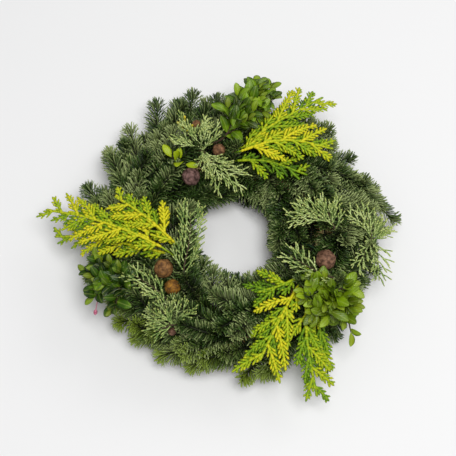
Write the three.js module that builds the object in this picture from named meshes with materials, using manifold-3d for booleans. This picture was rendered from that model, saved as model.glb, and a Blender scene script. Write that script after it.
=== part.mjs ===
// A fresh evergreen wreath, lying on its back: a straw ring wound with binding wire, sprays of
// noble fir bound on clockwise, and three clusters of golden cypress, small-leaved evergreen,
// juniper and round cypress cones. Millimetres and degrees, +Z up. Angles round the wreath run
// counterclockwise from +X, and angles round the ring's own section run from its outer side up.
import * as THREE from "three";
import { mergeVertices } from "three/addons/utils/BufferGeometryUtils.js";
import Module from "manifold-3d";

const wasm = await Module();
wasm.setup();

// ---- Driving dimensions ----
const RING_RADIUS = 85; // of the straw ring's centre line
const STRAW_RADIUS = 18;
const RING_HEIGHT = 15.5; // of the centre line above the flat the ring rests on
const RING_SEGMENTS = 36;
const TIE_DEPTH = 2.8; // how far the wire draws the straw in
const WIRE_TURNS = 12;
const WIRE_RADIUS = 0.7;
const WIRE_STEPS = 9; // for each turn
const WIRE_FLOOR = 1.3; // lowest centre height of the wire
const WIRE_OUT = 25.2; // distance of the wire from the ring's centre line, over the stems
const SEAT_GAP = 0.2; // between the straw and a bound stem
const STRAW_SIDES = 12;
const TURN = 360 / WIRE_TURNS;

const FIR_CORE = 1.7; // radius of a fir shoot's slim core
const TWIG_RADIUS = 0.8; // of a juniper twig
const FROND_STEM = 1.2;
const LEAF_STEM = 1;
const NEEDLE_LENGTH = 16;
const NEEDLE_ROOT = 1.9; // half the width of a needle where it leaves the core
const NEEDLE_SPACING = 8.5;
const NEEDLE_SPREAD = 0.8; // out of the core, to its lean ahead and its rise
const NEEDLE_LEAN = 0.62;
const NEEDLE_RISE = 0.22;
const CLEARANCE = 0.7; // kept between a needle and any other piece
const FLOOR = 1.4; // needles stay above this height
const HOLE_RADIUS = 30; // needles stay out of this cylinder
const LEAF_LENGTH = 14.5;
const LEAF_WIDTH = 8.6;
const LEAF_KEEL = 0.9;
const LEAF_SPACING = 5.5; // between the leaves of a stem
const CORD_SPACING = 5; // between the steps of a juniper twig
const BLADE = 0.8; // thickness of fronds
const MIDRIB = 1; // half the width of a frond's middle
const BRANCH_SPACING = 18; // along each side of a frond
const BRANCH_LEAN = 44; // of a frond's branches from its middle
const DROOP = 0.006; // of a frond's sides, for each square millimetre
const WELD = 0.01; // edges shorter than this are closed up after joining

// ---- Small helpers ----
const radians = THREE.MathUtils.degToRad;
const vec = (x, y, z) => new THREE.Vector3(x, y, z);
const mix = THREE.MathUtils.lerp;
const sway = (n, salt) => Math.sin(12.9898 * n + 78.233 * salt);

// A point at an angle round the wreath, a distance from its axis and a height.
function around(phi, radius, z) {
  return vec(radius * Math.cos(radians(phi)), radius * Math.sin(radians(phi)), z);
}

// A point beside the ring's centre line: at an angle round its section and a distance from it.
function beside(phi, theta, out) {
  const across = RING_RADIUS + out * Math.cos(radians(theta));
  return around(phi, across, RING_HEIGHT + out * Math.sin(radians(theta)));
}

// The distance of a bound stem from the ring's centre line, at an angle round the straw's flat sides.
function bedOut(theta, stemRadius) {
  const side = 360 / STRAW_SIDES;
  const fromMiddle = (((theta % side) + side) % side) - side / 2;
  const straw = (STRAW_RADIUS * Math.cos(radians(side / 2))) / Math.cos(radians(fromMiddle));
  return straw + SEAT_GAP + stemRadius;
}

// The direction away from the ring's centre line.
function outwardAt(point) {
  const phi = THREE.MathUtils.radToDeg(Math.atan2(point.y, point.x));
  return point.clone().sub(around(phi, RING_RADIUS, RING_HEIGHT)).normalize();
}

// ---- Solids ----
function solidOf(geometry) {
  const bare = new THREE.BufferGeometry();
  const loose = geometry.index ? geometry.toNonIndexed() : geometry;
  bare.setAttribute("position", loose.getAttribute("position"));
  const merged = mergeVertices(bare, 1e-3);
  const triVerts = new Uint32Array(merged.index.array);
  const vertProperties = merged.attributes.position.array;
  const solid = new wasm.Manifold(new wasm.Mesh({ numProp: 3, vertProperties, triVerts }));
  if (solid.volume() > 0) return solid;
  for (let i = 0; i < triVerts.length; i += 3) {
    [triVerts[i + 1], triVerts[i + 2]] = [triVerts[i + 2], triVerts[i + 1]];
  }
  return new wasm.Manifold(new wasm.Mesh({ numProp: 3, vertProperties, triVerts }));
}

function geometryOf(solid) {
  const mesh = solid.getMesh();
  const flat = new Float32Array(mesh.numVert * 3);
  for (let i = 0; i < mesh.numVert; i++) {
    const start = i * mesh.numProp;
    flat.set(mesh.vertProperties.subarray(start, start + 3), i * 3);
  }
  const geometry = new THREE.BufferGeometry();
  geometry.setAttribute("position", new THREE.BufferAttribute(flat, 3));
  geometry.setIndex(new THREE.BufferAttribute(new Uint32Array(mesh.triVerts), 1));
  return geometry;
}

// All solids as one body: the largest, where a scrap comes loose.
function joined(solids) {
  const whole = wasm.Manifold.union(solids).simplify(WELD);
  const bodies = whole.decompose();
  return bodies.sort((a, b) => b.volume() - a.volume())[0];
}

function section(radius, sides) {
  const corners = [];
  for (let i = 0; i < sides; i++) {
    const angle = (2 * Math.PI * i) / sides;
    corners.push(new THREE.Vector2(radius * Math.cos(angle), radius * Math.sin(angle)));
  }
  return new THREE.Shape(corners);
}

function rod(curve, radius, sides, steps) {
  const options = { steps, bevelEnabled: false, extrudePath: curve };
  return new THREE.ExtrudeGeometry(section(radius, sides), options);
}

// ---- Room: keeps what grows clear of what is there ----
const CELL = 4;
const room = new Map();
const cellOf = (x, y, z) => `${Math.floor(x / CELL)},${Math.floor(y / CELL)},${Math.floor(z / CELL)}`;

function occupy(point, radius, owner) {
  const key = cellOf(point.x, point.y, point.z);
  if (!room.has(key)) room.set(key, []);
  room.get(key).push({ point: point.clone(), radius, owner });
}

function isFree(point, radius, skips) {
  for (let i = -1; i <= 1; i++) {
    for (let j = -1; j <= 1; j++) {
      for (let k = -1; k <= 1; k++) {
        const key = cellOf(point.x + i * CELL, point.y + j * CELL, point.z + k * CELL);
        for (const ball of room.get(key) ?? []) {
          if (!skips(ball.owner) && ball.point.distanceTo(point) < ball.radius + radius) return false;
        }
      }
    }
  }
  return true;
}

function occupyCurve(curve, radius, owner) {
  const count = Math.ceil(curve.getLength() / 1.2);
  curve.getSpacedPoints(count).forEach((point) => occupy(point, radius, owner));
}

function occupySurface(geometry, owner) {
  const spacing = 1.3;
  const place = geometry.getAttribute("position");
  const corner = [vec(), vec(), vec()];
  for (let i = 0; i < geometry.index.count; i += 3) {
    corner.forEach((c, n) => c.fromBufferAttribute(place, geometry.index.getX(i + n)));
    const [a, b, c] = corner;
    const side = Math.max(a.distanceTo(b), b.distanceTo(c), c.distanceTo(a));
    const parts = Math.max(1, Math.ceil(side / spacing));
    for (let u = 0; u <= parts; u++) {
      for (let v = 0; v <= parts - u; v++) {
        const point = a.clone().addScaledVector(b.clone().sub(a), u / parts);
        point.addScaledVector(c.clone().sub(a), v / parts);
        occupy(point, 0.75, owner);
      }
    }
  }
}

// ---- The wreath's scene graph ----
const wreath = new THREE.Group();

// Adds a node whose own origin is the given point, such as a stem's bound end.
function addNode(name, solid, origin, look) {
  const geometry = geometryOf(solid);
  occupySurface(geometry, name);
  geometry.translate(-origin.x, -origin.y, -origin.z);
  geometry.computeVertexNormals();
  const material = new THREE.MeshStandardMaterial({ ...look, flatShading: true });
  const mesh = new THREE.Mesh(geometry, material);
  mesh.name = name;
  mesh.position.copy(origin);
  wreath.add(mesh);
}

// ---- Straw ring ----
// Round in section with a flat underside, and drawn in where the wire crosses that underside.
function strawRing() {
  const profile = [];
  for (let i = 0; i <= STRAW_SIDES; i++) {
    const theta = radians(-90 + (360 / STRAW_SIDES) * (i % STRAW_SIDES));
    const across = RING_RADIUS + STRAW_RADIUS * Math.cos(theta);
    profile.push(new THREE.Vector2(across, STRAW_RADIUS * Math.sin(theta)));
  }
  const geometry = new THREE.LatheGeometry(profile, RING_SEGMENTS);
  geometry.rotateX(Math.PI / 2);
  geometry.rotateZ(Math.PI / 2);
  const place = geometry.getAttribute("position");
  for (let i = 0; i < place.count; i++) {
    const point = vec().fromBufferAttribute(place, i);
    const phi = THREE.MathUtils.radToDeg(Math.atan2(point.y, point.x));
    const fromTie = Math.abs(((((phi % TURN) + 1.5 * TURN) % TURN) - TURN / 2));
    const tied = fromTie < 1 && point.z < -0.3 * STRAW_RADIUS;
    const centre = around(phi, RING_RADIUS, 0);
    if (tied) point.lerp(centre, TIE_DEPTH / STRAW_RADIUS);
    point.z = Math.max(point.z + RING_HEIGHT, tied ? TIE_DEPTH : 0);
    place.setXYZ(i, point.x, point.y, point.z);
  }
  return solidOf(geometry);
}

// ---- Binding wire ----
// Each turn crosses the underside straight, then climbs over the stems on its way to the next.
const advance = (theta) => TURN * THREE.MathUtils.smoothstep((theta + 90) / 360, 0.15, 0.85);
const wireAngle = (turn, theta) => turn * TURN + advance(theta);

class WireCurve extends THREE.Curve {
  getPoint(t) {
    const turns = mix(0.02, WIRE_TURNS - 0.02, t);
    const turn = Math.floor(turns);
    const theta = -90 + 360 * (turns - turn);
    const lift = THREE.MathUtils.smoothstep(180 - Math.abs(theta - 90), 0, 62);
    const low = RING_HEIGHT - WIRE_FLOOR;
    const point = beside(wireAngle(turn, theta), theta, mix(low, WIRE_OUT, lift));
    point.z = Math.max(point.z, WIRE_FLOOR);
    return point;
  }
}

// ---- Fir ----
// Between two points, keeping to the curve round the wreath's axis.
function sweep(a, b, t) {
  const turnOf = (p) => THREE.MathUtils.radToDeg(Math.atan2(p.y, p.x));
  const lead = ((turnOf(b) - turnOf(a) + 540) % 360) - 180;
  const radius = mix(Math.hypot(a.x, a.y), Math.hypot(b.x, b.y), t);
  return around(turnOf(a) + lead * t, radius, mix(a.z, b.z, t));
}

// A spray's main shoot lies under the wire and sweeps clockwise and out to its tip.
function boundCurve(turn, theta, tip) {
  const start = wireAngle(turn, theta);
  const bed = bedOut(theta, FIR_CORE);
  const base = beside(start + 3.5, theta, bed);
  const ahead = beside(start - 7, theta, bed + 0.4);
  return new THREE.CubicBezierCurve3(base, ahead, sweep(ahead, tip, 0.5), tip);
}

// The way a spray's upper side faces: away from the ring, and up.
function skywards(point) {
  return outwardAt(point).add(vec(0, 0, 1.6)).normalize();
}

// A side shoot leaves its parent outwards (side 1) or over the ring (side -1).
function sideCurve(parent, t, side, length, angle = 46) {
  const start = parent.getPointAt(t);
  const ahead = parent.getTangentAt(t);
  const radial = vec(start.x, start.y, 0).normalize();
  const out = outwardAt(start);
  const over = radial.clone().multiplyScalar(-out.z).add(vec(0, 0, out.dot(radial)));
  const lateral = side > 0 ? radial : over;
  lateral.addScaledVector(ahead, -lateral.dot(ahead)).normalize();
  const turned = (bend) => ahead.clone().multiplyScalar(Math.cos(radians(bend)))
    .addScaledVector(lateral, Math.sin(radians(bend)));
  const knee = start.clone().addScaledVector(turned(angle), length * 0.55);
  const end = knee.clone().addScaledVector(turned(angle * 0.6), length * 0.45);
  return new THREE.QuadraticBezierCurve3(start, knee, end);
}

// A curve whose first steps are long ones, up to a share of its length, and the rest even.
class Paced extends THREE.Curve {
  constructor(curve, bare, stemSteps, spacing) {
    super();
    const steps = stemSteps + Math.max(2, Math.round((curve.getLength() * (1 - bare)) / spacing));
    Object.assign(this, { curve, bare, steps, bareSteps: stemSteps, first: stemSteps / steps });
  }

  share(u) {
    if (u < this.first) return (u / this.first) * this.bare;
    return mix(this.bare, 1, (u - this.first) / (1 - this.first));
  }

  getPointAt(u) {
    return this.curve.getPointAt(this.share(u));
  }

  getTangentAt(u) {
    return this.curve.getTangentAt(this.share(u));
  }
}

// The three-sided core of a shoot, with a spike raised from each of its side triangles and its
// end beyond the bare part, where the given function has one grow.
function bristled(shoot, radius, growth, owner) {
  const core = rod(shoot, radius, 3, shoot.steps);
  const place = core.getAttribute("position");
  const [lids, sides] = core.groups;
  const out = [];
  for (let i = 0; i < place.count; i += 3) {
    const corners = [0, 1, 2].map((n) => vec().fromBufferAttribute(place, i + n));
    const root = centreOf(corners);
    const number = Math.abs(i - sides.start) / 3;
    const step = Math.floor((number % (shoot.steps * 2)) / 2);
    const atEnd = i < lids.count;
    const along = atEnd ? 1 : (step + 0.5) / shoot.steps;
    const grows = atEnd ? root.distanceTo(shoot.getPointAt(1)) < radius : step >= shoot.bareSteps;
    const spike = grows ? growth({ shoot, root, along, number, step, owner }) : null;
    out.push(...raised(corners, spike ?? { rings: [] }));
  }
  const geometry = new THREE.BufferGeometry();
  geometry.setAttribute("position", new THREE.Float32BufferAttribute(out.flatMap((p) => p.toArray()), 3));
  return solidOf(geometry);
}

const centreOf = (corners) => corners.reduce((sum, c) => sum.add(c), vec()).divideScalar(corners.length);

// A triangle's corners in the order that turns the same way as another's that it stands over.
function facingAlike(corners, base) {
  const plane = new THREE.Plane().setFromCoplanarPoints(...base);
  const raisedPlane = new THREE.Plane().setFromCoplanarPoints(...corners);
  const alike = plane.normal.dot(raisedPlane.normal) > 0;
  return alike ? corners : [...corners].reverse();
}

// The faces that stand on a triangle: round its rings, and over its tip or last ring.
function raised(base, { rings, tip }) {
  const faces = [];
  let last = base;
  rings.forEach((corners) => {
    const ring = facingAlike(corners, base);
    const turns = [0, 1, 2].map((n) => [ring[n], ring[(n + 1) % 3], ring[(n + 2) % 3]]);
    const twist = (turned) => turned.reduce((sum, p, n) => sum + p.distanceTo(last[n]), 0);
    const next = turns.sort((a, b) => twist(a) - twist(b))[0];
    for (let n = 0; n < 3; n++) {
      const m = (n + 1) % 3;
      const [a, b, c, d] = [last[n], last[m], next[m], next[n]];
      faces.push(...(b.distanceTo(d) < a.distanceTo(c) ? [a, b, d, b, c, d] : [a, b, c, a, c, d]));
    }
    last = next;
  });
  if (!tip) return [...faces, ...last];
  return [...faces, last[0], last[1], tip, last[1], last[2], tip, last[2], last[0], tip];
}

// The direction out of a shoot at a point on its surface, square to the shoot.
function outOf(shoot, root, along) {
  const ahead = shoot.getTangentAt(along);
  const outward = root.clone().sub(shoot.getPointAt(along));
  return outward.addScaledVector(ahead, -outward.dot(ahead)).normalize();
}

const NEEDLE_MARKS = [0.1, 0.2, 0.3, 0.4, 0.5, 0.6, 0.7, 0.8, 0.9, 1];
const NEEDLE_SHARES = [1, 0.8, 0.62]; // of its full length, tried in turn
const needleWidth = (t) => mix(NEEDLE_ROOT, 0.2, t);

// A needle, or null where there is no room for it.
function needle({ shoot, root, along, number, owner }) {
  const spread = along === 1 ? 0.12 : NEEDLE_SPREAD;
  const direction = outOf(shoot, root, along).multiplyScalar(spread);
  direction.addScaledVector(shoot.getTangentAt(along), NEEDLE_LEAN);
  direction.addScaledVector(skywards(root), NEEDLE_RISE + 0.06 * sway(number, 3)).normalize();
  const full = NEEDLE_LENGTH * (1 + 0.08 * sway(number, 5));
  for (const share of NEEDLE_SHARES) {
    const tip = root.clone().addScaledVector(direction, full * share);
    if (needleFits(root, tip, owner)) {
      NEEDLE_MARKS.forEach((t) => occupy(root.clone().lerp(tip, t), needleWidth(t), owner));
      return { rings: [], tip };
    }
  }
  return null;
}

function needleFits(root, tip, owner) {
  if (tip.z < FLOOR || Math.hypot(tip.x, tip.y) < HOLE_RADIUS) return false;
  return NEEDLE_MARKS.every((t) => {
    const point = root.clone().lerp(tip, t);
    return isFree(point, needleWidth(t) + CLEARANCE, (other) => other === owner);
  });
}

// The rows of fir sprays. Each lists the wire's turns that bind one, the angle round the ring's
// section, its tip's distance from the axis, height and lead, and its side shoots as their place
// along the main one, side (1 outwards, -1 over the ring) and length.
const FIR_ROWS = [
  { name: "outer", turns: [0, 1, 2, 3, 4, 5, 6, 7, 8, 9, 10, 11], theta: 4,
    radius: 129, height: 17, lead: 46, sides: [[0.42, 1, 30], [0.6, -1, 28]] },
  { name: "shoulder", turns: [0, 1, 3, 4, 6, 8, 9], theta: 58,
    radius: 112, height: 47, lead: 46, sides: [[0.36, -1, 46], [0.56, 1, 30]] },
  { name: "crest", turns: [2, 5, 7, 10], theta: 92,
    radius: 84, height: 55, lead: 44, sides: [[0.36, -1, 34], [0.56, 1, 30]] },
  { name: "inner", turns: [1, 3, 5, 8, 10], theta: 154,
    radius: 46, height: 33, lead: 54, sides: [[0.4, -1, 30]] },
];

// Whether a shoot's core keeps clear of all but its own spray, and the ring that it is bound to.
function coreFits(curve, name) {
  const gap = FIR_CORE + 0.35;
  return curve.getSpacedPoints(32).every((p, n) => {
    const bound = (other) => n < 9 && ["straw_ring", "binding_wire"].includes(other);
    return p.z > gap && isFree(p, gap, (other) => other.startsWith(`${name}/`) || bound(other));
  });
}

// The first of a list of curves that fits, or null.
const firstFitting = (curves, name) => curves.find((curve) => coreFits(curve, name)) ?? null;

// How far a main shoot may move to keep clear of its neighbours: ahead, outwards and up.
const SHIFTS = [
  [0, 0, 0], [0, 4, 0], [0, 0, 4], [4, 0, 0], [-4, 3, 0], [0, 8, 0], [5, 0, 6], [0, 0, -5], [8, 4, 4],
];
const SIDE_ANGLES = [46, 34, 58, 24, 70]; // tried in turn, each with the lengths below
const SIDE_SHARES = [1, 0.8, 0.6];
const WIDENING = 8; // of the wreath's outline towards +Y, over its middle

function mainShoot(row, r, turn, name) {
  const phi = wireAngle(turn, row.theta) - row.lead + 3 * sway(turn, r);
  const widest = row.name === "outer" ? WIDENING * Math.sin(radians(phi)) : 0;
  const radius = row.radius + widest + 3 * sway(turn, r + 7);
  const height = row.height + 3 * sway(turn, r + 4);
  const curves = SHIFTS.map(([lead, out, up]) => {
    return boundCurve(turn, row.theta, around(phi + lead, radius + out, height + up));
  });
  return firstFitting(curves, name) ?? curves[0];
}

function sideShoots(main, row, name) {
  const shoots = [];
  const ways = SIDE_ANGLES.flatMap((angle) => SIDE_SHARES.map((share) => [angle, share]));
  row.sides.forEach(([t, side, length]) => {
    const curves = ways.map(([angle, share]) => sideCurve(main, t, side, length * share, angle));
    const curve = firstFitting(curves, name);
    if (curve) shoots.push(new Paced(curve, 0.2, 1, NEEDLE_SPACING));
  });
  return shoots;
}

function firSprays() {
  const sprays = [];
  FIR_ROWS.forEach((row, r) => {
    row.turns.forEach((turn) => {
      const name = `fir_${row.name}_${String(turn + 1).padStart(2, "0")}`;
      const main = mainShoot(row, r, turn, name);
      occupyCurve(main, FIR_CORE, `${name}/0`);
      sprays.push({ name, row, main, shoots: [new Paced(main, 0.3, 3, NEEDLE_SPACING)] });
    });
  });
  sprays.forEach(({ name, row, main, shoots }) => {
    sideShoots(main, row, name).forEach((shoot, n) => {
      occupyCurve(shoot.curve, FIR_CORE, `${name}/${n + 1}`);
      shoots.push(shoot);
    });
  });
  return sprays;
}

// ---- Stems of the pieces between the fir ----
// Part of a curve, from one share of its length to another.
class Stretch extends THREE.Curve {
  constructor(curve, from, to) {
    super();
    Object.assign(this, { curve, from, to });
  }

  getPoint(t) {
    return this.curve.getPointAt(mix(this.from, this.to, t));
  }
}

// A stem from under a turn of the wire up to its root, the place where its greenery starts, and
// on through the given points to its tip. A way of -1 runs it counterclockwise.
function stemCurve({ turn, theta, way = 1, root, via = [], tip }, stemRadius) {
  const start = wireAngle(turn, theta);
  const bed = bedOut(theta, stemRadius);
  const base = beside(start + 3.5 * way, theta, bed);
  const ahead = beside(start - 6 * way, theta, bed + 0.6);
  const points = [base, ahead, sweep(ahead, vec(...root), 0.5), vec(...root)];
  [...via, tip].forEach((p) => points.push(vec(...p)));
  return new THREE.CatmullRomCurve3(points, false, "centripetal");
}

// The share of a curve's length at which it passes nearest to a point.
function shareAt(curve, point) {
  const points = curve.getSpacedPoints(100);
  const distances = points.map((p) => p.distanceTo(point));
  return distances.indexOf(Math.min(...distances)) / 100;
}

// ---- Golden cypress ----
// The branches on one side of a flat frond, each as the [along, across] corners of its outline.
function frondBranches(length, width, offset) {
  const branches = [];
  for (let x = offset; x < length - 6; x += BRANCH_SPACING) {
    const u = x / length;
    const reach = width * Math.min(1, 0.35 + 2.4 * u) * (1 - 0.72 * u);
    branches.push([[x - 1.1, MIDRIB], ...frondBranch(x, reach), [x + 1.4, MIDRIB]]);
  }
  return branches;
}

// One branch of a frond, leaning towards the frond's tip, with a tooth on either side.
function frondBranch(x, reach) {
  const lean = radians(BRANCH_LEAN);
  const place = (along, across) => [
    x + along * Math.cos(lean) - across * Math.sin(lean),
    MIDRIB + along * Math.sin(lean) + across * Math.cos(lean),
  ];
  if (reach < 15) return [place(reach, 0)];
  const tooth = Math.min(5.5, reach * 0.3);
  const near = [place(reach * 0.2 + tooth, 1 + tooth * 0.75), place(reach * 0.48, 1.1)];
  const far = [place(reach * 0.62, -1.1), place(reach * 0.36 + tooth, -1 - tooth * 0.75)];
  return [...near, place(reach, 0), ...far];
}

// The corners of each triangle that fills a small outline, counterclockwise.
function filled(outline) {
  const contour = outline.map(([x, y]) => new THREE.Vector2(x, y));
  return THREE.ShapeUtils.triangulateShape(contour, []).map((face) => {
    const [a, b, c] = face.map((n) => contour[n]);
    const turned = b.clone().sub(a).cross(c.clone().sub(a)) < 0;
    return (turned ? face.reverse() : face).map((n) => outline[n]);
  });
}

// The triangles of a frond's middle, in a zigzag between its two edges.
function midrib(left, right, tip) {
  const faces = [];
  let [i, j] = [0, 0];
  while (i < left.length - 1 || j < right.length - 1) {
    const onLeft = i < left.length - 1 && (j === right.length - 1 || left[i + 1][0] < right[j + 1][0]);
    faces.push([left[i], right[j], onLeft ? left[i + 1] : right[j + 1]]);
    if (onLeft) i += 1;
    else j += 1;
  }
  return [...faces, [left[i], right[j], tip]];
}

// A plate with the same flat triangles on both its sides, and walls round its rim, set in place
// corner by corner.
function plateOf(faces, placed) {
  const out = [];
  const face = (...corners) => corners.forEach((corner) => out.push(...placed(corner).toArray()));
  const rim = new Map();
  faces.forEach((corners) => {
    const [a, b, c] = corners;
    face([...a, BLADE / 2], [...b, BLADE / 2], [...c, BLADE / 2]);
    face([...c, -BLADE / 2], [...b, -BLADE / 2], [...a, -BLADE / 2]);
    [[a, b], [b, c], [c, a]].forEach(([from, to]) => {
      if (!rim.delete(`${to}|${from}`)) rim.set(`${from}|${to}`, [from, to]);
    });
  });
  rim.forEach(([from, to]) => {
    face([...from, BLADE / 2], [...from, -BLADE / 2], [...to, -BLADE / 2]);
    face([...from, BLADE / 2], [...to, -BLADE / 2], [...to, BLADE / 2]);
  });
  const geometry = new THREE.BufferGeometry();
  geometry.setAttribute("position", new THREE.Float32BufferAttribute(out, 3));
  return geometry;
}

// A flat frond laid along a curve, its sides drooping a little.
function frondSolid(curve, width) {
  const length = curve.getLength();
  const mirrored = (points) => points.map(([x, y]) => [x, -y]);
  const left = frondBranches(length, width, 4);
  const right = frondBranches(length, width, 4 + BRANCH_SPACING / 2).map(mirrored);
  const feet = (branches) => branches.flatMap((branch) => [branch[0], branch[branch.length - 1]]);
  const middle = midrib([[0, 0.9], ...feet(left)], [[0, -0.9], ...feet(right)], [length, 0]);
  const faces = [...middle, ...[...left, ...right].flatMap(filled)];
  return solidOf(plateOf(faces, ([x, y, z]) => {
    const t = THREE.MathUtils.clamp(x / length, 0, 1);
    const ahead = curve.getTangentAt(t);
    const across = vec(0, 0, 1).cross(ahead).normalize();
    const up = ahead.clone().cross(across);
    const point = curve.getPointAt(t).addScaledVector(across, y);
    point.addScaledVector(up, z - DROOP * y * y + 0.5 * Math.sin(x / 9));
    return point.addScaledVector(ahead, Math.max(0, x - length));
  }));
}

function cypressFrond(frond) {
  const from = shareAt(frond.curve, vec(...frond.root));
  const stem = rod(new Stretch(frond.curve, 0, mix(from, 1, 0.12)), FROND_STEM, 3, 6);
  return joined([solidOf(stem), frondSolid(new Stretch(frond.curve, from, 1), frond.width)]);
}

const CYPRESS = [
  { turn: 8, theta: 112, width: 40, root: [-47, -25, 69],
    via: [[-84, -4, 71], [-132, 14, 62]], tip: [-177, 21, 46] },
  { turn: 8, theta: 126, width: 34, root: [-43, -18, 72], via: [[-66, 10, 76]], tip: [-108, 36, 64] },
  { turn: 8, theta: 140, width: 26, root: [-40, -10, 66], via: [[-56, 14, 69]], tip: [-86, 40, 60] },
  { turn: 8, theta: 98, width: 30, root: [-54, -27, 60],
    via: [[-92, -20, 62], [-128, -12, 53]], tip: [-158, -10, 38] },
  { turn: 3, theta: 108, width: 38, root: [8, 72.6, 68],
    via: [[38, 96, 72], [66, 116, 64]], tip: [92, 132, 52] },
  { turn: 3, theta: 120, width: 34, root: [8, 66.6, 72], via: [[46, 76, 76]], tip: [90, 74, 62] },
  { turn: 3, theta: 132, width: 24, root: [4, 60.6, 64], via: [[34, 58, 68]], tip: [66, 50, 58] },
  { turn: 11, theta: 124, width: 26, root: [58, -48, 66], via: [[38, -56, 70]], tip: [12, -62, 62] },
  { turn: 11, theta: 110, width: 38, root: [57, -60, 69], via: [[38, -92, 70]], tip: [16, -134, 50] },
  { turn: 11, theta: 96, width: 34, root: [66, -72, 66], via: [[72, -108, 60]], tip: [74, -152, 34] },
  { turn: 11, theta: 82, width: 28, root: [74, -72, 54], via: [[84, -98, 47]], tip: [94, -134, 30] },
];

// ---- Small-leaved evergreen ----
function leafySprig({ name, curve, root, twigs = [] }) {
  const from = shareAt(curve, vec(...root));
  const shoots = [new Paced(curve, from, 3, LEAF_SPACING)];
  twigs.forEach((twig) => {
    shoots.push(new Paced(twigCurve(curve, from, twig), 0.15, 1, LEAF_SPACING));
  });
  return joined(shoots.map((shoot, n) => bristled(shoot, LEAF_STEM, leaf, `${name}/${n}`)));
}

// A leaf for each step of a stem, in turn round its three sides: keeled, pointed and curled.
function leaf({ shoot, root, along, number, step, owner }) {
  const edge = Math.floor(number / (2 * shoot.steps));
  if (along < 1 && (number % 2 || edge !== step % 3)) return null;
  const outward = outOf(shoot, root, along);
  outward.z *= 0.5;
  const direction = shoot.getTangentAt(along).multiplyScalar(0.7 + 0.2 * sway(step, 1));
  direction.addScaledVector(outward, along === 1 ? 0 : 0.9);
  direction.addScaledVector(vec(0, 0, 1), 0.2 + 0.15 * sway(step, 2)).normalize();
  const sideways = vec(0, 0, 1).cross(direction);
  sideways.addScaledVector(vec(0, 0, 1), 0.3 * sway(step, 3)).normalize();
  const facing = direction.clone().cross(sideways);
  const length = LEAF_LENGTH * (1 + 0.15 * sway(step, 4));
  const at = (x, y, z) => root.clone().addScaledVector(direction, x * length)
    .addScaledVector(sideways, y).addScaledVector(facing, z - 2.2 * x * x);
  const ring = (x, half) => [at(x, half, 0.3), at(x, -half, 0.3), at(x, 0, -LEAF_KEEL)];
  const tip = at(1, 0, 0);
  const marks = leafMarks(at);
  if (!marks.every((p) => isFree(p, LEAF_KEEL, (other) => other === owner))) return null;
  marks.forEach((p) => occupy(p, LEAF_KEEL, `${owner}#${number}`));
  return { rings: [ring(0.36, LEAF_WIDTH * 0.3), ring(0.66, LEAF_WIDTH * 0.47)], tip };
}

// Points all over a leaf, from a function that gives one from its share of the length, the
// distance from the midrib and the height.
function leafMarks(at) {
  return [0.35, 0.5, 0.65, 0.8, 0.95].flatMap((x) => {
    const half = LEAF_WIDTH * 0.44 * Math.min(1, (1 - x) / 0.3);
    return [-1, -0.5, 0, 0.5, 1].map((y) => at(x, y * half, -0.3));
  });
}

// A twig that leaves a curve at a share of what lies beyond its root, and ends at a tip.
function twigCurve(curve, from, { at = 0.1, tip }) {
  const start = curve.getPointAt(mix(from, 1, at));
  const end = vec(...tip);
  const ahead = curve.getTangentAt(mix(from, 1, at)).multiplyScalar(start.distanceTo(end) * 0.45);
  return new THREE.QuadraticBezierCurve3(start, start.clone().add(ahead), end);
}

const LEAFY = [
  { turn: 4, theta: 84, root: [-8, 84, 62], via: [[6, 112, 64]], tip: [26, 142, 56] },
  { turn: 8, theta: 46, root: [-88, -60, 51], via: [[-112, -44, 51]], tip: [-134, -28, 44],
    twigs: [{ at: 0.17, tip: [-130, -66, 42] }] },
  { turn: 11, theta: 74, root: [88, -58, 56], via: [[99, -78, 54]], tip: [106, -104, 42],
    twigs: [{ at: 0.12, tip: [118, -66, 52] }] },
  { turn: 5, theta: 112, root: [-48, 58, 60], via: [[-53, 64, 65]], tip: [-58, 72, 67] },
];

// ---- Juniper ----
const CORD_SHARES = [1, 0.75, 0.5]; // of its full length, tried in turn
const CORD_MARKS = [0.3, 0.37, 0.44, 0.51, 0.58, 0.65, 0.73, 0.81, 0.9, 1];
const TWIG_SHARE = 0.4; // of a twig's radius that its own cords keep away from

function juniperSprig({ name, curve, root, twigs = [] }) {
  const from = shareAt(curve, vec(...root));
  const shoots = [new Paced(curve, from, 3, CORD_SPACING)];
  twigs.forEach((twig) => {
    shoots.push(new Paced(twigCurve(curve, from, twig), 0.12, 1, CORD_SPACING));
  });
  shoots.forEach((shoot, n) => occupyCurve(shoot.curve, TWIG_RADIUS * TWIG_SHARE, `${name}/${n}#core`));
  return joined(shoots.map((shoot, n) => bristled(shoot, TWIG_RADIUS, cord, `${name}/${n}`)));
}

// A cord on every third side triangle of a twig, and at its end, where it crosses no other.
function cord({ shoot, root, along, number, owner }) {
  if (along < 1 && number % 3) return null;
  const outward = outOf(shoot, root, along);
  outward.z *= 0.6;
  const direction = shoot.getTangentAt(along).addScaledVector(outward, along === 1 ? 0.05 : 0.45);
  const full = mix(22, 10, along) * (1 + 0.2 * sway(number, 2));
  for (const share of CORD_SHARES) {
    const tip = root.clone().addScaledVector(direction.normalize(), full * share);
    const marks = CORD_MARKS.map((t) => root.clone().lerp(tip, t));
    const clear = (p) => isFree(p, TWIG_RADIUS, (other) => !other.startsWith(`${owner}#`));
    if (marks.every(clear)) {
      marks.forEach((p) => occupy(p, TWIG_RADIUS, `${owner}#${number}`));
      return { rings: [], tip };
    }
  }
  return null;
}

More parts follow.
